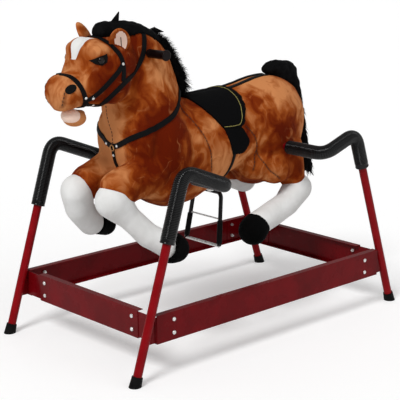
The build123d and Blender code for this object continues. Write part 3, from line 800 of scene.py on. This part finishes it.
stitches = []
for line, _ in SEAMS.values():
    for sign in SIDES.values():
        spots = [side_point(skin_surface, *spot, sign)[0] for spot in spaced_points(line, STITCH_STEP)]
        for first, second, third in zip(spots[0::3], spots[1::3], spots[2::3]):
            if first is not None and third is not None and (third - first).length < 3 * STITCH_STEP:
                stitches.append((first, second, third))
for spot in spaced_points(THROAT_SEAM, 3 * STITCH_STEP):
    heights = (spot.y, spot.y + 2 * STITCH_STEP)
    stitches.append([front_point(skin_surface, 0.0, height)[0] for height in heights])
seam_thread = make_finish("seam_thread", SEAM_THREAD)
fix_piece(thread_curve("seam_stitches", stitches, STITCH_R), seam_thread)


# Socks: the lower legs, in smooth white fleece over the same filling.
# Each is a closed tube round the knee or hock, sewn to the brown upper leg at its top.
SOCK_VOXEL = 0.005
SOCK_ROUND_STEPS = 6
SOCK_LUMPS = (18.0, 0.0015, 5.0)
# Line of each sock from knee or hock to hoof, as (place, radius)
SOCKS = {
    "foreleg_socks": (
        (((0.080, -0.426, 0.463), 0.052), ((0.099, -0.386, 0.412), 0.035),
         ((0.130, -0.338, 0.354), 0.036), ((0.152, -0.282, 0.316), 0.038)),
        (((-0.080, -0.430, 0.466), 0.049), ((-0.093, -0.414, 0.410), 0.043),
         ((-0.110, -0.362, 0.354), 0.040)),
    ),
    "hind_socks": (
        (((0.104, 0.304, 0.384), 0.047), ((0.118, 0.240, 0.345), 0.040), ((0.139, 0.092, 0.311), 0.040)),
        (((-0.103, 0.267, 0.381), 0.040), ((-0.112, 0.172, 0.418), 0.039)),
    ),
}
WHITE_FLEECE = {
    **PLUSH, "colours": ((0.3, (0.64, 0.635, 0.62, 1.0)), (0.6, (0.79, 0.79, 0.78, 1.0))),
    "lift": 0.35, "tint": (1.0, 1.0, 1.0, 1.0),
}

white_fleece = make_plush("white_fleece", WHITE_FLEECE)
for node, legs in SOCKS.items():
    forms = [form for leg in legs for form in limb(leg)]
    socks = weld_forms(forms, f"stuffed_{node}", SOCK_VOXEL, SOCK_ROUND_STEPS)
    roughen(socks, *SOCK_LUMPS)
    fix_stuffed(socks, white_fleece, [node])


# Hooves: black short plush, stuffed to a dome and sewn to the end of each sock.
# Each dome is cut off flat where it meets the sock.
HOOF_ROUND_STEPS = 6
# Line of each hoof from the sock to the sole, as (place, radius)
HOOVES = {
    "fore_hooves": (
        (((0.154, -0.276, 0.312), 0.047), ((0.159, -0.263, 0.307), 0.041)),
        (((-0.114, -0.336, 0.346), 0.036), ((-0.120, -0.300, 0.333), 0.034)),
    ),
    "hind_hooves": (
        (((0.139, 0.090, 0.310), 0.0425), ((0.1435, 0.067, 0.295), 0.046)),
        (((-0.112, 0.166, 0.420), 0.0425), ((-0.118, 0.116, 0.434), 0.040)),
    ),
}
BLACK_PLUSH = {
    **PLUSH, "colours": ((0.35, (0.0010, 0.0010, 0.0010, 1.0)), (0.72, (0.0032, 0.0032, 0.0032, 1.0))),
    "lift": 0.8, "tint": (0.3, 0.3, 0.32, 1.0), "sheen": 0.01,
}

black_plush = make_plush("black_plush", BLACK_PLUSH)
for node, hooves in HOOVES.items():
    domes = []
    for hoof in hooves:
        (top, _), (sole, _) = hoof
        dome = weld_forms(limb(hoof), "hoof_dome", SOCK_VOXEL, HOOF_ROUND_STEPS)
        cut_piece(dome, top, Vector(top) - Vector(sole), fill=True)
        domes.append(dome)
    fix_stuffed(join_pieces(domes, f"stuffed_{node}"), black_plush, [node])


# Jaw: the lower lip and chin in the same cinnamon plush, hinged under the mouth,
# with a pale pink fleece lining and tongue set into its front.
JAW_VOXEL = 0.0035
JAW_ROUND_STEPS = 6
# Lip and chin, as (place, half sizes)
JAW_FORMS = (
    ((0.0, -0.491, 0.698), (0.035, 0.033, 0.024)),
    ((0.0, -0.474, 0.711), (0.018, 0.016, 0.008)),
)
TONGUE_PLACE = (0.0, -0.500, 0.7020)
TONGUE_HALF = (0.034, 0.030, 0.023)
TONGUE_TURN = (math.radians(-24.0), 0.0, 0.0)
TONGUE_ROUND_STEPS = 3
PINK_FLEECE = {
    **PLUSH, "colours": ((0.3, (0.82, 0.56, 0.45, 1.0)), (0.6, (0.94, 0.71, 0.59, 1.0))),
    "lift": 0.35, "tint": (1.0, 0.9, 0.85, 1.0),
}

pink_fleece = make_plush("pink_fleece", PINK_FLEECE)
forms = [plump(place, half_sizes) for place, half_sizes in JAW_FORMS]
jaw = weld_forms(forms, "stuffed_jaw", JAW_VOXEL, JAW_ROUND_STEPS)
# The jaw takes the muzzle's lightening: brushed nap and painted light
_, _, muzzle_rise = NAP_AND_PAINTED_LIGHT["muzzle"]
store_values(jaw, "brushed", [muzzle_rise] * len(jaw.data.vertices))
fix_stuffed(jaw, brown_plush, ["jaw"], "jaw")
forms = [plump(TONGUE_PLACE, TONGUE_HALF, TONGUE_TURN)]
tongue = weld_forms(forms, "stuffed_tongue", JAW_VOXEL, TONGUE_ROUND_STEPS)
fix_stuffed(tongue, pink_fleece, ["tongue"], "jaw")


# Ears: cinnamon plush cups lined with pale pink fleece, sewn to the head behind the browband.
# Each opens outwards and leans a little forward; the lining is narrower than the rim.
EAR_PLACES = {"left": (0.068, -0.378, 0.907), "right": (0.062, -0.400, 0.914)}
EAR_HALF = (0.030, 0.013, 0.043)
EAR_HOLLOW = 0.018
EAR_SEGMENTS = 40
EAR_RINGS = 28
EAR_RISE = (0.34, -0.34, 0.88)
EAR_OPENING = (0.86, -0.50, -0.20)
EAR_TIP_TAPER = 0.12
EAR_FOOT_TAPER = 0.30
LINING_REACH = (0.56, 0.80)
LINING_SHIFT = 0.16
# Even lightening of the ears on the same scale
EAR_LIGHTER = 0.08
# Heights of the sewn fold down the lining, in half heights of the ear
EAR_FOLD = (-0.70, -0.45, -0.20, 0.05, 0.25)

ear_rise = Vector(EAR_RISE).normalized()
ear_opening = Vector(EAR_OPENING)
ear_opening = (ear_opening - ear_rise * ear_opening.dot(ear_rise)).normalized()
ear_back = ear_rise.cross(ear_opening)


def ear_point(across, depth, height, side):
    """Place on an ear, from a point of the unit ball that it is shaped from."""
    taper = 1.0 - EAR_TIP_TAPER * max(0.0, height) ** 2 - EAR_FOOT_TAPER * max(0.0, -height) ** 2
    sink = EAR_HOLLOW * max(0.0, 1.0 - across**2 - height**2) if depth < 0.0 else 0.0
    spot = ear_back * (across * EAR_HALF[0] * taper)
    spot -= ear_opening * (depth * EAR_HALF[1] + sink)
    spot += ear_rise * (height * EAR_HALF[2])
    return on_side(spot, SIDES[side]) + on_side(EAR_PLACES[side], SIDES[side])


for side, sign in SIDES.items():
    bpy.ops.mesh.primitive_uv_sphere_add(segments=EAR_SEGMENTS, ring_count=EAR_RINGS, radius=1.0)
    ear = bpy.context.object
    ear.name = f"ear_{side}"
    store_values(ear, "brushed", [EAR_LIGHTER] * len(ear.data.vertices))
    fix_stuffed(ear, brown_plush, ["ears"])
    ear.data.materials.append(pink_fleece)
    for face in ear.data.polygons:
        across, depth, height = face.center
        out = math.hypot((across - LINING_SHIFT) / LINING_REACH[0], height / LINING_REACH[1])
        if depth < 0.0 and out < 1.0:
            face.material_index = 1
    for vertex in ear.data.vertices:
        vertex.co = ear_point(*vertex.co, side)
    if sign < 0:
        ear.data.flip_normals()
    crease = []
    for height in EAR_FOLD:
        depth = -math.sqrt(1.0 - LINING_SHIFT**2 - height**2)
        crease.append(ear_point(LINING_SHIFT, depth, height, side))
    fix_piece(thread_curve(f"ear_fold_{side}", [crease], STITCH_R), seam_thread)


# Eyes and nostrils: glossy dark plastic eyes pressed through black felt lids, and black felt nostrils.
# The felt is cut flat, laid on the plush and stitched round its edge.
EYE_SPOT = (-0.447, 0.861)
EYE_HALF = (0.009, 0.0115, 0.0115)
EYE_SINK = 0.0015
FELT_T = 0.0014
LID_CUTS = 3
LID_OUTLINE = (
    (-0.475, 0.862), (-0.455, 0.871), (-0.429, 0.878), (-0.426, 0.868),
    (-0.431, 0.855), (-0.447, 0.847), (-0.464, 0.852),
)
NOSTRIL_PLACE = (0.080, -0.566, 0.792)
NOSTRIL_FACING = (0.72, -0.69, 0.06)
NOSTRIL_HALF = (0.0155, 0.0115)
NOSTRIL_TURN_DEG = 26.0
NOSTRIL_SIDES = 24
NOSTRIL_CUTS = 2
FELT = {
    "colours": ((0.35, (0.0025, 0.0025, 0.0025, 1.0)), (0.7, (0.0065, 0.0062, 0.0062, 1.0))),
    "mottle": 260.0, "detail": 5.0, "roughness": 0.9, "specular": 0.12, "bump": (0.4, 0.001),
}
EYE_PLASTIC = {
    "colours": ((0.4, (0.002, 0.0018, 0.0018, 1.0)), (0.7, (0.006, 0.003, 0.0015, 1.0))),
    "mottle": 120.0, "detail": 2.0, "roughness": 0.05, "specular": 0.25,
}

black_felt = make_finish("black_felt", FELT)
eye_plastic = make_finish("eye_plastic", EYE_PLASTIC)


def lay_felt(patch, name, cuts, axis):
    """Lay a cut felt patch on the plush along one of its own axes, thicken it and fix it to the horse."""
    patch.name = name
    apply_modifier(patch, "SUBSURF", levels=cuts, render_levels=cuts, subdivision_type="SIMPLE")
    apply_modifier(
        patch, "SHRINKWRAP", target=skin, offset=FELT_T, wrap_method="PROJECT",
        use_negative_direction=True, use_positive_direction=True, **{f"use_project_{axis}": True},
    )
    bpy.ops.object.transform_apply(location=True, rotation=True, scale=True)
    apply_modifier(patch, "SOLIDIFY", thickness=FELT_T, offset=0.0)
    fix_piece(patch, black_felt)


for side, sign in SIDES.items():
    bpy.ops.mesh.primitive_circle_add(vertices=len(LID_OUTLINE), radius=1.0, fill_type="TRIFAN")
    lid = bpy.context.object
    for vertex, (y, z) in zip(lid.data.vertices[-len(LID_OUTLINE):], LID_OUTLINE):
        vertex.co = (sign * CAST_FROM, y, z)
    lid.data.vertices[0].co = (sign * CAST_FROM, *EYE_SPOT)
    lay_felt(lid, f"eyelid_{side}", LID_CUTS, "x")

    facing = on_side(NOSTRIL_FACING, sign)
    bpy.ops.mesh.primitive_circle_add(
        vertices=NOSTRIL_SIDES, radius=1.0, fill_type="TRIFAN", location=on_side(NOSTRIL_PLACE, sign),
        rotation=facing.to_track_quat("Z", "Y").to_euler(),
    )
    nostril = bpy.context.object
    turn = Matrix.Rotation(math.radians(sign * NOSTRIL_TURN_DEG), 4, "Z")
    nostril.data.transform(turn @ Matrix.Diagonal((*NOSTRIL_HALF, 1.0, 1.0)))
    lay_felt(nostril, f"nostril_{side}", NOSTRIL_CUTS, "z")

    place, normal = side_point(skin_surface, *EYE_SPOT, sign)
    eye = plump(place - normal * EYE_SINK, EYE_HALF)
    eye.name = f"eye_{side}"
    fix_piece(eye, eye_plastic)
    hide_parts("eyes")


# Tack straps: flat black vinyl webbing, riveted at the crossings and laid tight on the plush.
# Noseband, headstall and throat latch make the bridle; the collar and its centre strap lie on the chest,
# joined by a small brass ring.
STRAP_T = 0.0026
STRAP_LIFT = 0.0006
STRAP_STEP = 0.006
STRAP_ACROSS = (-0.5, -0.25, 0.0, 0.25, 0.5)
ROUTE_EASING = 6
STRAP_EDGE = {"steps": 4, "edge": 0.3, "segments": 2}
STRAP_VINYL = {
    "colours": ((0.35, (0.0014, 0.0014, 0.0017, 1.0)), (0.72, (0.0038, 0.0038, 0.0042, 1.0))),
    "mottle": 340.0, "detail": 4.0, "worn": (0.5, 0.66), "specular": 0.08, "bump": (0.25, 0.0006),
}
BRIDLE_W = 0.017
NOSE_W = 0.017
COLLAR_W = 0.019
CHEST_W = 0.015
# Routes on the left side of the horse; those that start or end at x = 0 carry on round the right side
NOSE_ROUTE = (
    (0.0, -0.538, 0.826), (0.026, -0.520, 0.820), (0.042, -0.513, 0.807),
    (0.053, -0.504, 0.787), (0.053, -0.492, 0.761), (0.034, -0.482, 0.742), (0.0, -0.478, 0.735),
)
BROW_ROUTE = (
    (0.0, -0.418, 0.926), (0.030, -0.411, 0.916), (0.060, -0.397, 0.892),
    (0.073, -0.384, 0.872), (0.080, -0.381, 0.847), (0.083, -0.378, 0.822), (0.086, -0.386, 0.796),
)
LATCH_ROUTE = (
    (0.0, -0.262, 0.930), (0.046, -0.273, 0.914), (0.056, -0.282, 0.890), (0.058, -0.289, 0.861),
    (0.058, -0.301, 0.837), (0.062, -0.330, 0.814), (0.085, -0.380, 0.795), (0.080, -0.414, 0.769),
    (0.058, -0.428, 0.745), (0.032, -0.424, 0.728), (0.0, -0.420, 0.722),
)
COLLAR_ROUTE = (
    (0.0, -0.360, 0.597), (0.022, -0.356, 0.602), (0.061, -0.350, 0.623), (0.092, -0.325, 0.642),
    (0.104, -0.265, 0.661), (0.103, -0.219, 0.682), (0.085, -0.181, 0.705), (0.070, -0.160, 0.728),
    (0.045, -0.142, 0.742), (0.0, -0.132, 0.750),
)
CHEEK_ROUTE = (
    (0.081, -0.381, 0.845), (0.083, -0.401, 0.824), (0.075, -0.441, 0.788), (0.057, -0.472, 0.759),
    (0.053, -0.488, 0.752),
)
JAW_STRAP_ROUTE = (
    (0.050, -0.492, 0.750), (0.036, -0.474, 0.737), (0.032, -0.440, 0.730), (0.030, -0.412, 0.727),
)
CHEST_ROUTE = ((0.0, -0.360, 0.592), (0.0, -0.356, 0.552), (0.0, -0.342, 0.522), (0.0, -0.325, 0.505))

black_vinyl = make_finish("black_vinyl", STRAP_VINYL)


def mesh_object(name, corners, faces):
    """Object from corners and faces."""
    mesh = bpy.data.meshes.new(name)
    mesh.from_pydata(corners, [], faces)
    return new_object(name, mesh)


def thicken(piece, thickness, steps, edge, segments):
    """Even out a laid sheet, give it its thickness and soften its edges."""
    round_off(piece, steps)
    apply_modifier(piece, "SOLIDIFY", thickness=thickness, offset=1.0)
    apply_modifier(piece, "BEVEL", width=thickness * edge, segments=segments, limit_method="ANGLE")


def ease_route(points):
    """Even points along a route, with its corners eased."""
    route = []
    for start, stop in zip(points[:-1], points[1:]):
        count = max(1, round((stop - start).length / STRAP_STEP))
        route += [start.lerp(stop, index / count) for index in range(count)]
    route.append(points[-1])
    for _ in range(ROUTE_EASING):
        eased = [(left + 2 * here + right) / 4 for left, here, right in zip(route, route[1:], route[2:])]
        route[1:-1] = eased
    return route


def lay_strap(name, node, points, width):
    """Strap along a route of places, snapped tight on the plush."""
    route = ease_route([Vector(point) for point in points])
    corners = []
    for before, here, after in zip([route[0], *route], route, [*route[1:], route[-1]]):
        place, normal, _, _ = skin_surface.find_nearest(here)
        across = (after - before).cross(normal).normalized() * width
        for share in STRAP_ACROSS:
            spot, outwards, _, _ = skin_surface.find_nearest(place + across * share)
            corners.append(spot + outwards * STRAP_LIFT)
    row = len(STRAP_ACROSS)
    faces = []
    for first in range(0, len(corners) - row, row):
        faces += [(low, low + 1, low + row + 1, low + row) for low in range(first, first + row - 1)]
    strap = mesh_object(name, corners, faces)
    thicken(strap, STRAP_T, **STRAP_EDGE)
    fix_piece(strap, black_vinyl)
    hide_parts(node)


def route_on(points, sign):
    """The same route on the left or right side."""
    return [on_side(point, sign) for point in points]


def loop_round(points):
    """Route along the left side to the middle and back along the right side."""
    return [*points, *route_on(points, -1)[-2::-1]]


def over_middle(points):
    """Route that comes up the right side, over the middle and down the left."""
    return [*route_on(points, -1)[:0:-1], *points]


lay_strap("noseband_strap", "noseband", loop_round(NOSE_ROUTE), NOSE_W)
lay_strap("brow_strap", "headstall", over_middle(BROW_ROUTE), BRIDLE_W)
lay_strap("throat_latch_strap", "throat_latch", loop_round(LATCH_ROUTE), BRIDLE_W)
lay_strap("breast_collar_strap", "breast_collar", loop_round(COLLAR_ROUTE), COLLAR_W)
lay_strap("chest_centre_strap", "breast_collar", CHEST_ROUTE, CHEST_W)
for side, sign in SIDES.items():
    lay_strap(f"cheek_strap_{side}", "headstall", route_on(CHEEK_ROUTE, sign), BRIDLE_W)
    lay_strap(f"jaw_strap_{side}", "throat_latch", route_on(JAW_STRAP_ROUTE, sign), BRIDLE_W)


# Saddle: a padded black cloth seat with drop skirts, a rounded fender under each skirt,
# a girth strap round the belly and two crupper straps back to the tail.
# Thin yellow piping is sewn on just inside the back and bottom edges.
SADDLE_T = 0.006
FENDER_T = 0.004
PAD_WELD = 0.0025
PAD_EDGE = {"steps": 8, "edge": 0.35, "segments": 3}
GIRTH_W = 0.014
GIRTH_ROUTE = ((0.128, 0.006, 0.552), (0.120, 0.004, 0.505), (0.080, 0.002, 0.450), (0.0, 0.0, 0.430))
CRUPPER_W = 0.018
CRUPPER_ROUTE = ((0.017, 0.084, 0.722), (0.015, 0.170, 0.738), (0.010, 0.264, 0.745))
SADDLE_SIDE = (
    (-0.130, 0.750), (-0.067, 0.663), (-0.039, 0.625), (-0.030, 0.619), (0.030, 0.617), (0.045, 0.622),
    (0.056, 0.636), (0.068, 0.655), (0.077, 0.674), (0.084, 0.695), (0.089, 0.717), (0.093, 0.750),
)
FENDER_SIDE = (
    (-0.044, 0.640), (-0.007, 0.543), (0.002, 0.534), (0.037, 0.536), (0.050, 0.542), (0.060, 0.552),
    (0.066, 0.564), (0.066, 0.576), (0.060, 0.590), (0.040, 0.618), (0.000, 0.645),
)
# Piping round the saddle, as (degrees up from level about the body's middle, y)
PIPING_ROUTE = (
    (12.5, -0.034), (11.5, 0.000), (12.0, 0.026), (15.0, 0.036),
    (22.0, 0.046), (36.0, 0.057), (56.0, 0.064), (90.0, 0.070),
)
PIPING_STEPS = 10
BODY_MIDDLE_Z = 0.600
PIPING_R = 0.0009
PIPING_YARN = {
    "colours": ((0.35, (0.22, 0.19, 0.045, 1.0)), (0.65, (0.42, 0.36, 0.09, 1.0))),
    "mottle": 500.0, "detail": 2.0, "roughness": 0.7,
}
SADDLE_CLOTH = {
    "colours": STRAP_VINYL["colours"], "mottle": 700.0, "detail": 3.0,
    "roughness": 0.85, "specular": 0.05, "bump": (0.35, 0.0008),
}

saddle_cloth = make_finish("saddle_cloth", SADDLE_CLOTH)


def lay_pad(name, node, outline, thickness):
    """Padded cloth cut from the plush surface inside an outline (y, z) of the side view."""
    pad = copy_piece(skin, name)
    for (y0, z0), (y1, z1) in zip(outline, outline[1:] + outline[:1]):
        cut_piece(pad, (0.0, y0, z0), Vector((0.0, z1 - z0, y0 - y1)))
    weld_points(pad, PAD_WELD)
    thicken(pad, thickness, **PAD_EDGE)
    fix_stuffed(pad, saddle_cloth, [node])
    return pad


lay_pad("saddle_fender_pads", "saddle_fenders", FENDER_SIDE, FENDER_T)
saddle = lay_pad("saddle_pad", "saddle", SADDLE_SIDE, SADDLE_T)
saddle_surface = surface_of(saddle)
path = []
stations = [*PIPING_ROUTE, *[(180.0 - angle, y) for angle, y in PIPING_ROUTE[-2::-1]]]
for (angle0, y0), (angle1, y1) in zip(stations[:-1], stations[1:]):
    for step in range(PIPING_STEPS):
        share = step / PIPING_STEPS
        angle = math.radians(angle0 + (angle1 - angle0) * share)
        outwards = Vector((math.cos(angle), 0.0, math.sin(angle)))
        middle = Vector((0.0, y0 + (y1 - y0) * share, BODY_MIDDLE_Z))
        place, _, _, _ = saddle_surface.ray_cast(middle + outwards * CAST_FROM, -outwards)
        path.append(place)
piping = thread_curve("saddle_piping", [[place for place in path if place]], PIPING_R)
fix_piece(piping, make_finish("yellow_piping", PIPING_YARN))
lay_strap("girth_strap", "girth", loop_round(GIRTH_ROUTE), GIRTH_W)
for side, sign in SIDES.items():
    lay_strap(f"crupper_strap_{side}", "crupper_strap", route_on(CRUPPER_ROUTE, sign), CRUPPER_W)


# Rivets and chest ring: domed zinc rivets where the straps cross, and a brass ring on the chest.
# The rivets are pressed through the webbing; the ring joins the collar and the chest strap.
RIVET_R = 0.0044
RIVET_RISE = 0.0026
HEAD_RIVETS = ((-0.492, 0.760), (-0.470, 0.757), (-0.381, 0.846), (-0.454, 0.734))
CHEST_RIVETS = ((-0.028, 0.603), (0.022, 0.602), (0.000, 0.571))
RING_PLACE = (0.0, 0.594)
RING_R = 0.0085
RING_WIRE_R = 0.0018
RING_LIFT = STRAP_T * 1.6
RING_SEGMENTS = 32
RING_WIRE_SEGMENTS = 10
BRASS = {
    "colours": ((0.35, (0.36, 0.17, 0.06, 1.0)), (0.7, (0.62, 0.34, 0.13, 1.0))),
    "mottle": 150.0, "detail": 4.0, "roughness": 0.35, "metal": 0.9,
}


def press_rivet(place, normal):
    """Domed rivet head standing on a strap."""
    return plump(place, (RIVET_R, RIVET_R, RIVET_RISE), normal.to_track_quat("Z", "Y").to_euler())


def straps_surface(*names):
    """Search tree over several laid straps."""
    copies = [copy_piece(bpy.data.objects[name], f"{name}_copy") for name in names]
    joined = join_pieces(copies, "straps_copy")
    surface = surface_of(joined)
    bpy.data.objects.remove(joined)
    return surface


bridle = straps_surface(
    "noseband_strap", "brow_strap", "cheek_strap_left", "cheek_strap_right",
    "jaw_strap_left", "jaw_strap_right",
)
chest_tack = straps_surface("breast_collar_strap", "chest_centre_strap")
rivets = [press_rivet(*side_point(bridle, y, z, sign)) for sign in SIDES.values() for y, z in HEAD_RIVETS]
rivets += [press_rivet(*front_point(chest_tack, x, z)) for x, z in CHEST_RIVETS]
rivet_heads = join_pieces(rivets, "rivet_heads")
fix_piece(rivet_heads, zinc)
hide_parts("tack_rivets")

place, normal = front_point(skin_surface, *RING_PLACE)
bpy.ops.mesh.primitive_torus_add(
    location=place + normal * RING_LIFT, rotation=normal.to_track_quat("Z", "Y").to_euler(),
    major_segments=RING_SEGMENTS, minor_segments=RING_WIRE_SEGMENTS,
    major_radius=RING_R, minor_radius=RING_WIRE_R,
)
ring = bpy.context.object
ring.name = "chest_ring"
bpy.ops.object.transform_apply(location=True, rotation=True, scale=True)
fix_piece(ring, make_finish("brass", BRASS))


# Mane and tail: long black pile stitched along the crest and the rump, with loose hair at the edges.
# The hair is tapered strands that stand out of the pile and lie back along it.
HAIR_VOXEL = 0.005
PILE_ROUND_STEPS = 5
PILE_LUMPS = (60.0, 0.003, 9.0)
HAIR_SEED = 11
HAIR_R = 0.0010
HAIR_SIDES = 3
HAIR_JOINTS = 4
HAIR_DROOP = 0.3
HAIR_TAPER = 0.9
HAIR_JITTER = 0.35
BLACK_HAIR = {
    "colours": ((0.35, (0.0014, 0.0014, 0.0016, 1.0)), (0.75, (0.0042, 0.0042, 0.0046, 1.0))),
    "mottle": 160.0, "detail": 5.0, "stretch": (1.0, 0.5, 0.5),
    "roughness": 0.75, "specular": 0.05, "bump": (0.6, 0.003),
}
# Fuller lump of each pile, at the poll or where the tail arches up, as (place, half sizes), and its strands:
# how many, shortest and longest, how much they stand out, the way they lie and from which y they grow
HAIR = {
    "mane": {
        "lump": ((0.0, -0.376, 0.929), (0.032, 0.038, 0.030)), "count": 2600, "length": (0.012, 0.030),
        "stand": 0.55, "lie": (0.0, 0.75, -0.55), "from_y": -0.210,
    },
    "tail": {
        "lump": ((0.0, 0.341, 0.735), (0.030, 0.060, 0.043)), "count": 900, "length": (0.008, 0.018),
        "stand": 0.15, "lie": (0.0, 0.15, -0.98), "from_y": 0.400,
    },
}
# Single locks that stick out, as (root, tip, width at the root)
LOCKS = (
    ((0.000, -0.347, 0.944), (0.000, -0.324, 0.980), 0.036),
    ((-0.010, -0.192, 0.918), (-0.010, -0.150, 0.908), 0.022),
    ((-0.010, -0.176, 0.896), (-0.010, -0.126, 0.872), 0.022),
    ((0.000, 0.450, 0.432), (0.004, 0.490, 0.376), 0.022),
    ((0.012, 0.446, 0.436), (0.020, 0.462, 0.392), 0.018),
    ((-0.014, 0.446, 0.436), (-0.020, 0.474, 0.388), 0.018),
)

black_hair = make_finish("black_hair", BLACK_HAIR)


def tapered_strand(corners, faces, root, run, droop, radius):
    """Add one strand that bends down towards its tip."""
    first = len(corners)
    side = run.orthogonal().normalized()
    step = 2.0 * math.pi / HAIR_SIDES
    turns = [Matrix.Rotation(step * corner, 3, run.normalized()) @ side for corner in range(HAIR_SIDES)]
    for joint in range(HAIR_JOINTS):
        share = joint / (HAIR_JOINTS - 1)
        middle = root + run * share + Vector((0.0, 0.0, -droop * share**2))
        corners += [middle + turn * radius * (1.0 - HAIR_TAPER * share) for turn in turns]
    for low in range(first, first + HAIR_SIDES * (HAIR_JOINTS - 1), HAIR_SIDES):
        for corner in range(HAIR_SIDES):
            after = (corner + 1) % HAIR_SIDES
            faces.append((low + corner, low + after, low + after + HAIR_SIDES, low + corner + HAIR_SIDES))


def hair_on(pile, style, name, dice):
    """Loose strands all over a pile of hair, as one mesh."""
    corners = []
    faces = []
    lie = Vector(style["lie"]) * (1.0 - style["stand"])
    polygons = [polygon for polygon in pile.data.polygons if polygon.center.y > style["from_y"]]
    for polygon in dice.choices(polygons, weights=[polygon.area for polygon in polygons], k=style["count"]):
        jitter = Vector([dice.uniform(-HAIR_JITTER, HAIR_JITTER) for _ in range(3)])
        direction = (polygon.normal * style["stand"] + lie + jitter).normalized()
        length = dice.uniform(*style["length"])
        tapered_strand(corners, faces, polygon.center, direction * length, length * HAIR_DROOP, HAIR_R)
    return mesh_object(name, corners, faces)


dice = random.Random(HAIR_SEED)
for node, style in HAIR.items():
    forms = [node_form(node), plump(*style["lump"])]
    pile = weld_forms(forms, f"stuffed_{node}", HAIR_VOXEL, PILE_ROUND_STEPS)
    roughen(pile, *PILE_LUMPS)
    fix_stuffed(pile, black_hair, [node])
    fix_piece(hair_on(pile, style, f"{node}_hair", dice), black_hair)
corners = []
faces = []
for root, tip, width in LOCKS:
    tapered_strand(corners, faces, Vector(root), Vector(tip) - Vector(root), 0.0, width / 2)
fix_piece(mesh_object("loose_locks", corners, faces), black_hair)


# Studio: a pale seamless floor, a white backdrop, two soft lamps and the camera at the photograph's place.
# The floor and the backdrop show white to the camera, and the floor keeps the shadow.
FLOOR_SIZE = 60.0
FLOOR_PALE = (0.84, 0.84, 0.84, 1.0)
FLOOR_LOOK = {"roughness": 0.9, "specular": 0.1}
PURE_WHITE = (1.0, 1.0, 1.0, 1.0)
FLOOR_GLOW = 0.24
CAMERA_PLACE = (2.835, -2.602, 1.340)
CAMERA_AIM = (0.0, -0.0211, 0.3803)
CAMERA_ROLL_DEG = -0.527
CAMERA_LENS = 115.4
# Soft distant lamps, as direction to the lamp, strength and spread in degrees
LAMPS = {
    "key": {"from": (0.25, -0.80, 0.95), "strength": 1.9, "spread": 20.0},
    "fill": {"from": (0.95, 0.15, 0.45), "strength": 0.5, "spread": 60.0},
}
WORLD_LIGHT = 0.40

bpy.ops.mesh.primitive_plane_add(size=FLOOR_SIZE, location=(0, 0, 0))
floor = bpy.context.object
floor.name = "floor"
floor_white, tree, shader = fresh_material("floor_white")
set_look(shader, FLOOR_LOOK)
shader.inputs["Base Color"].default_value = FLOOR_PALE
shader.inputs["Emission Color"].default_value = PURE_WHITE
seen = tree.nodes.new("ShaderNodeLightPath")
direct = add_math(tree, "MAXIMUM", seen.outputs["Is Camera Ray"], seen.outputs["Is Glossy Ray"])
direct = add_math(tree, "MAXIMUM", direct, seen.outputs["Is Transmission Ray"])
tree.links.new(add_math(tree, "MULTIPLY", direct, FLOOR_GLOW), shader.inputs["Emission Strength"])
floor.data.materials.append(floor_white)

world = bpy.data.worlds.new("studio")
world.use_nodes = True
backdrop = world.node_tree.nodes["Background"]
backdrop.inputs["Color"].default_value = PURE_WHITE
seen = world.node_tree.nodes.new("ShaderNodeLightPath")
white = add_range(world.node_tree, seen.outputs["Is Camera Ray"], WORLD_LIGHT, 1.0, 0.0, 1.0)
world.node_tree.links.new(white, backdrop.inputs["Strength"])
bpy.context.scene.world = world
for name, lamp in LAMPS.items():
    light = bpy.data.lights.new(name, "SUN")
    light.energy = lamp["strength"]
    light.angle = math.radians(lamp["spread"])
    holder = new_object(name, light)
    holder.rotation_euler = Vector(lamp["from"]).to_track_quat("Z", "Y").to_euler()

camera_data = bpy.data.cameras.new("camera")
camera_data.lens = CAMERA_LENS
camera = new_object("camera", camera_data)
aim = (Vector(CAMERA_AIM) - Vector(CAMERA_PLACE)).to_track_quat("-Z", "Y").to_matrix().to_4x4()
roll = Matrix.Rotation(math.radians(CAMERA_ROLL_DEG), 4, "Z")
camera.matrix_world = Matrix.Translation(CAMERA_PLACE) @ aim @ roll
bpy.context.scene.camera = camera
bpy.context.scene.view_settings.view_transform = "Standard"
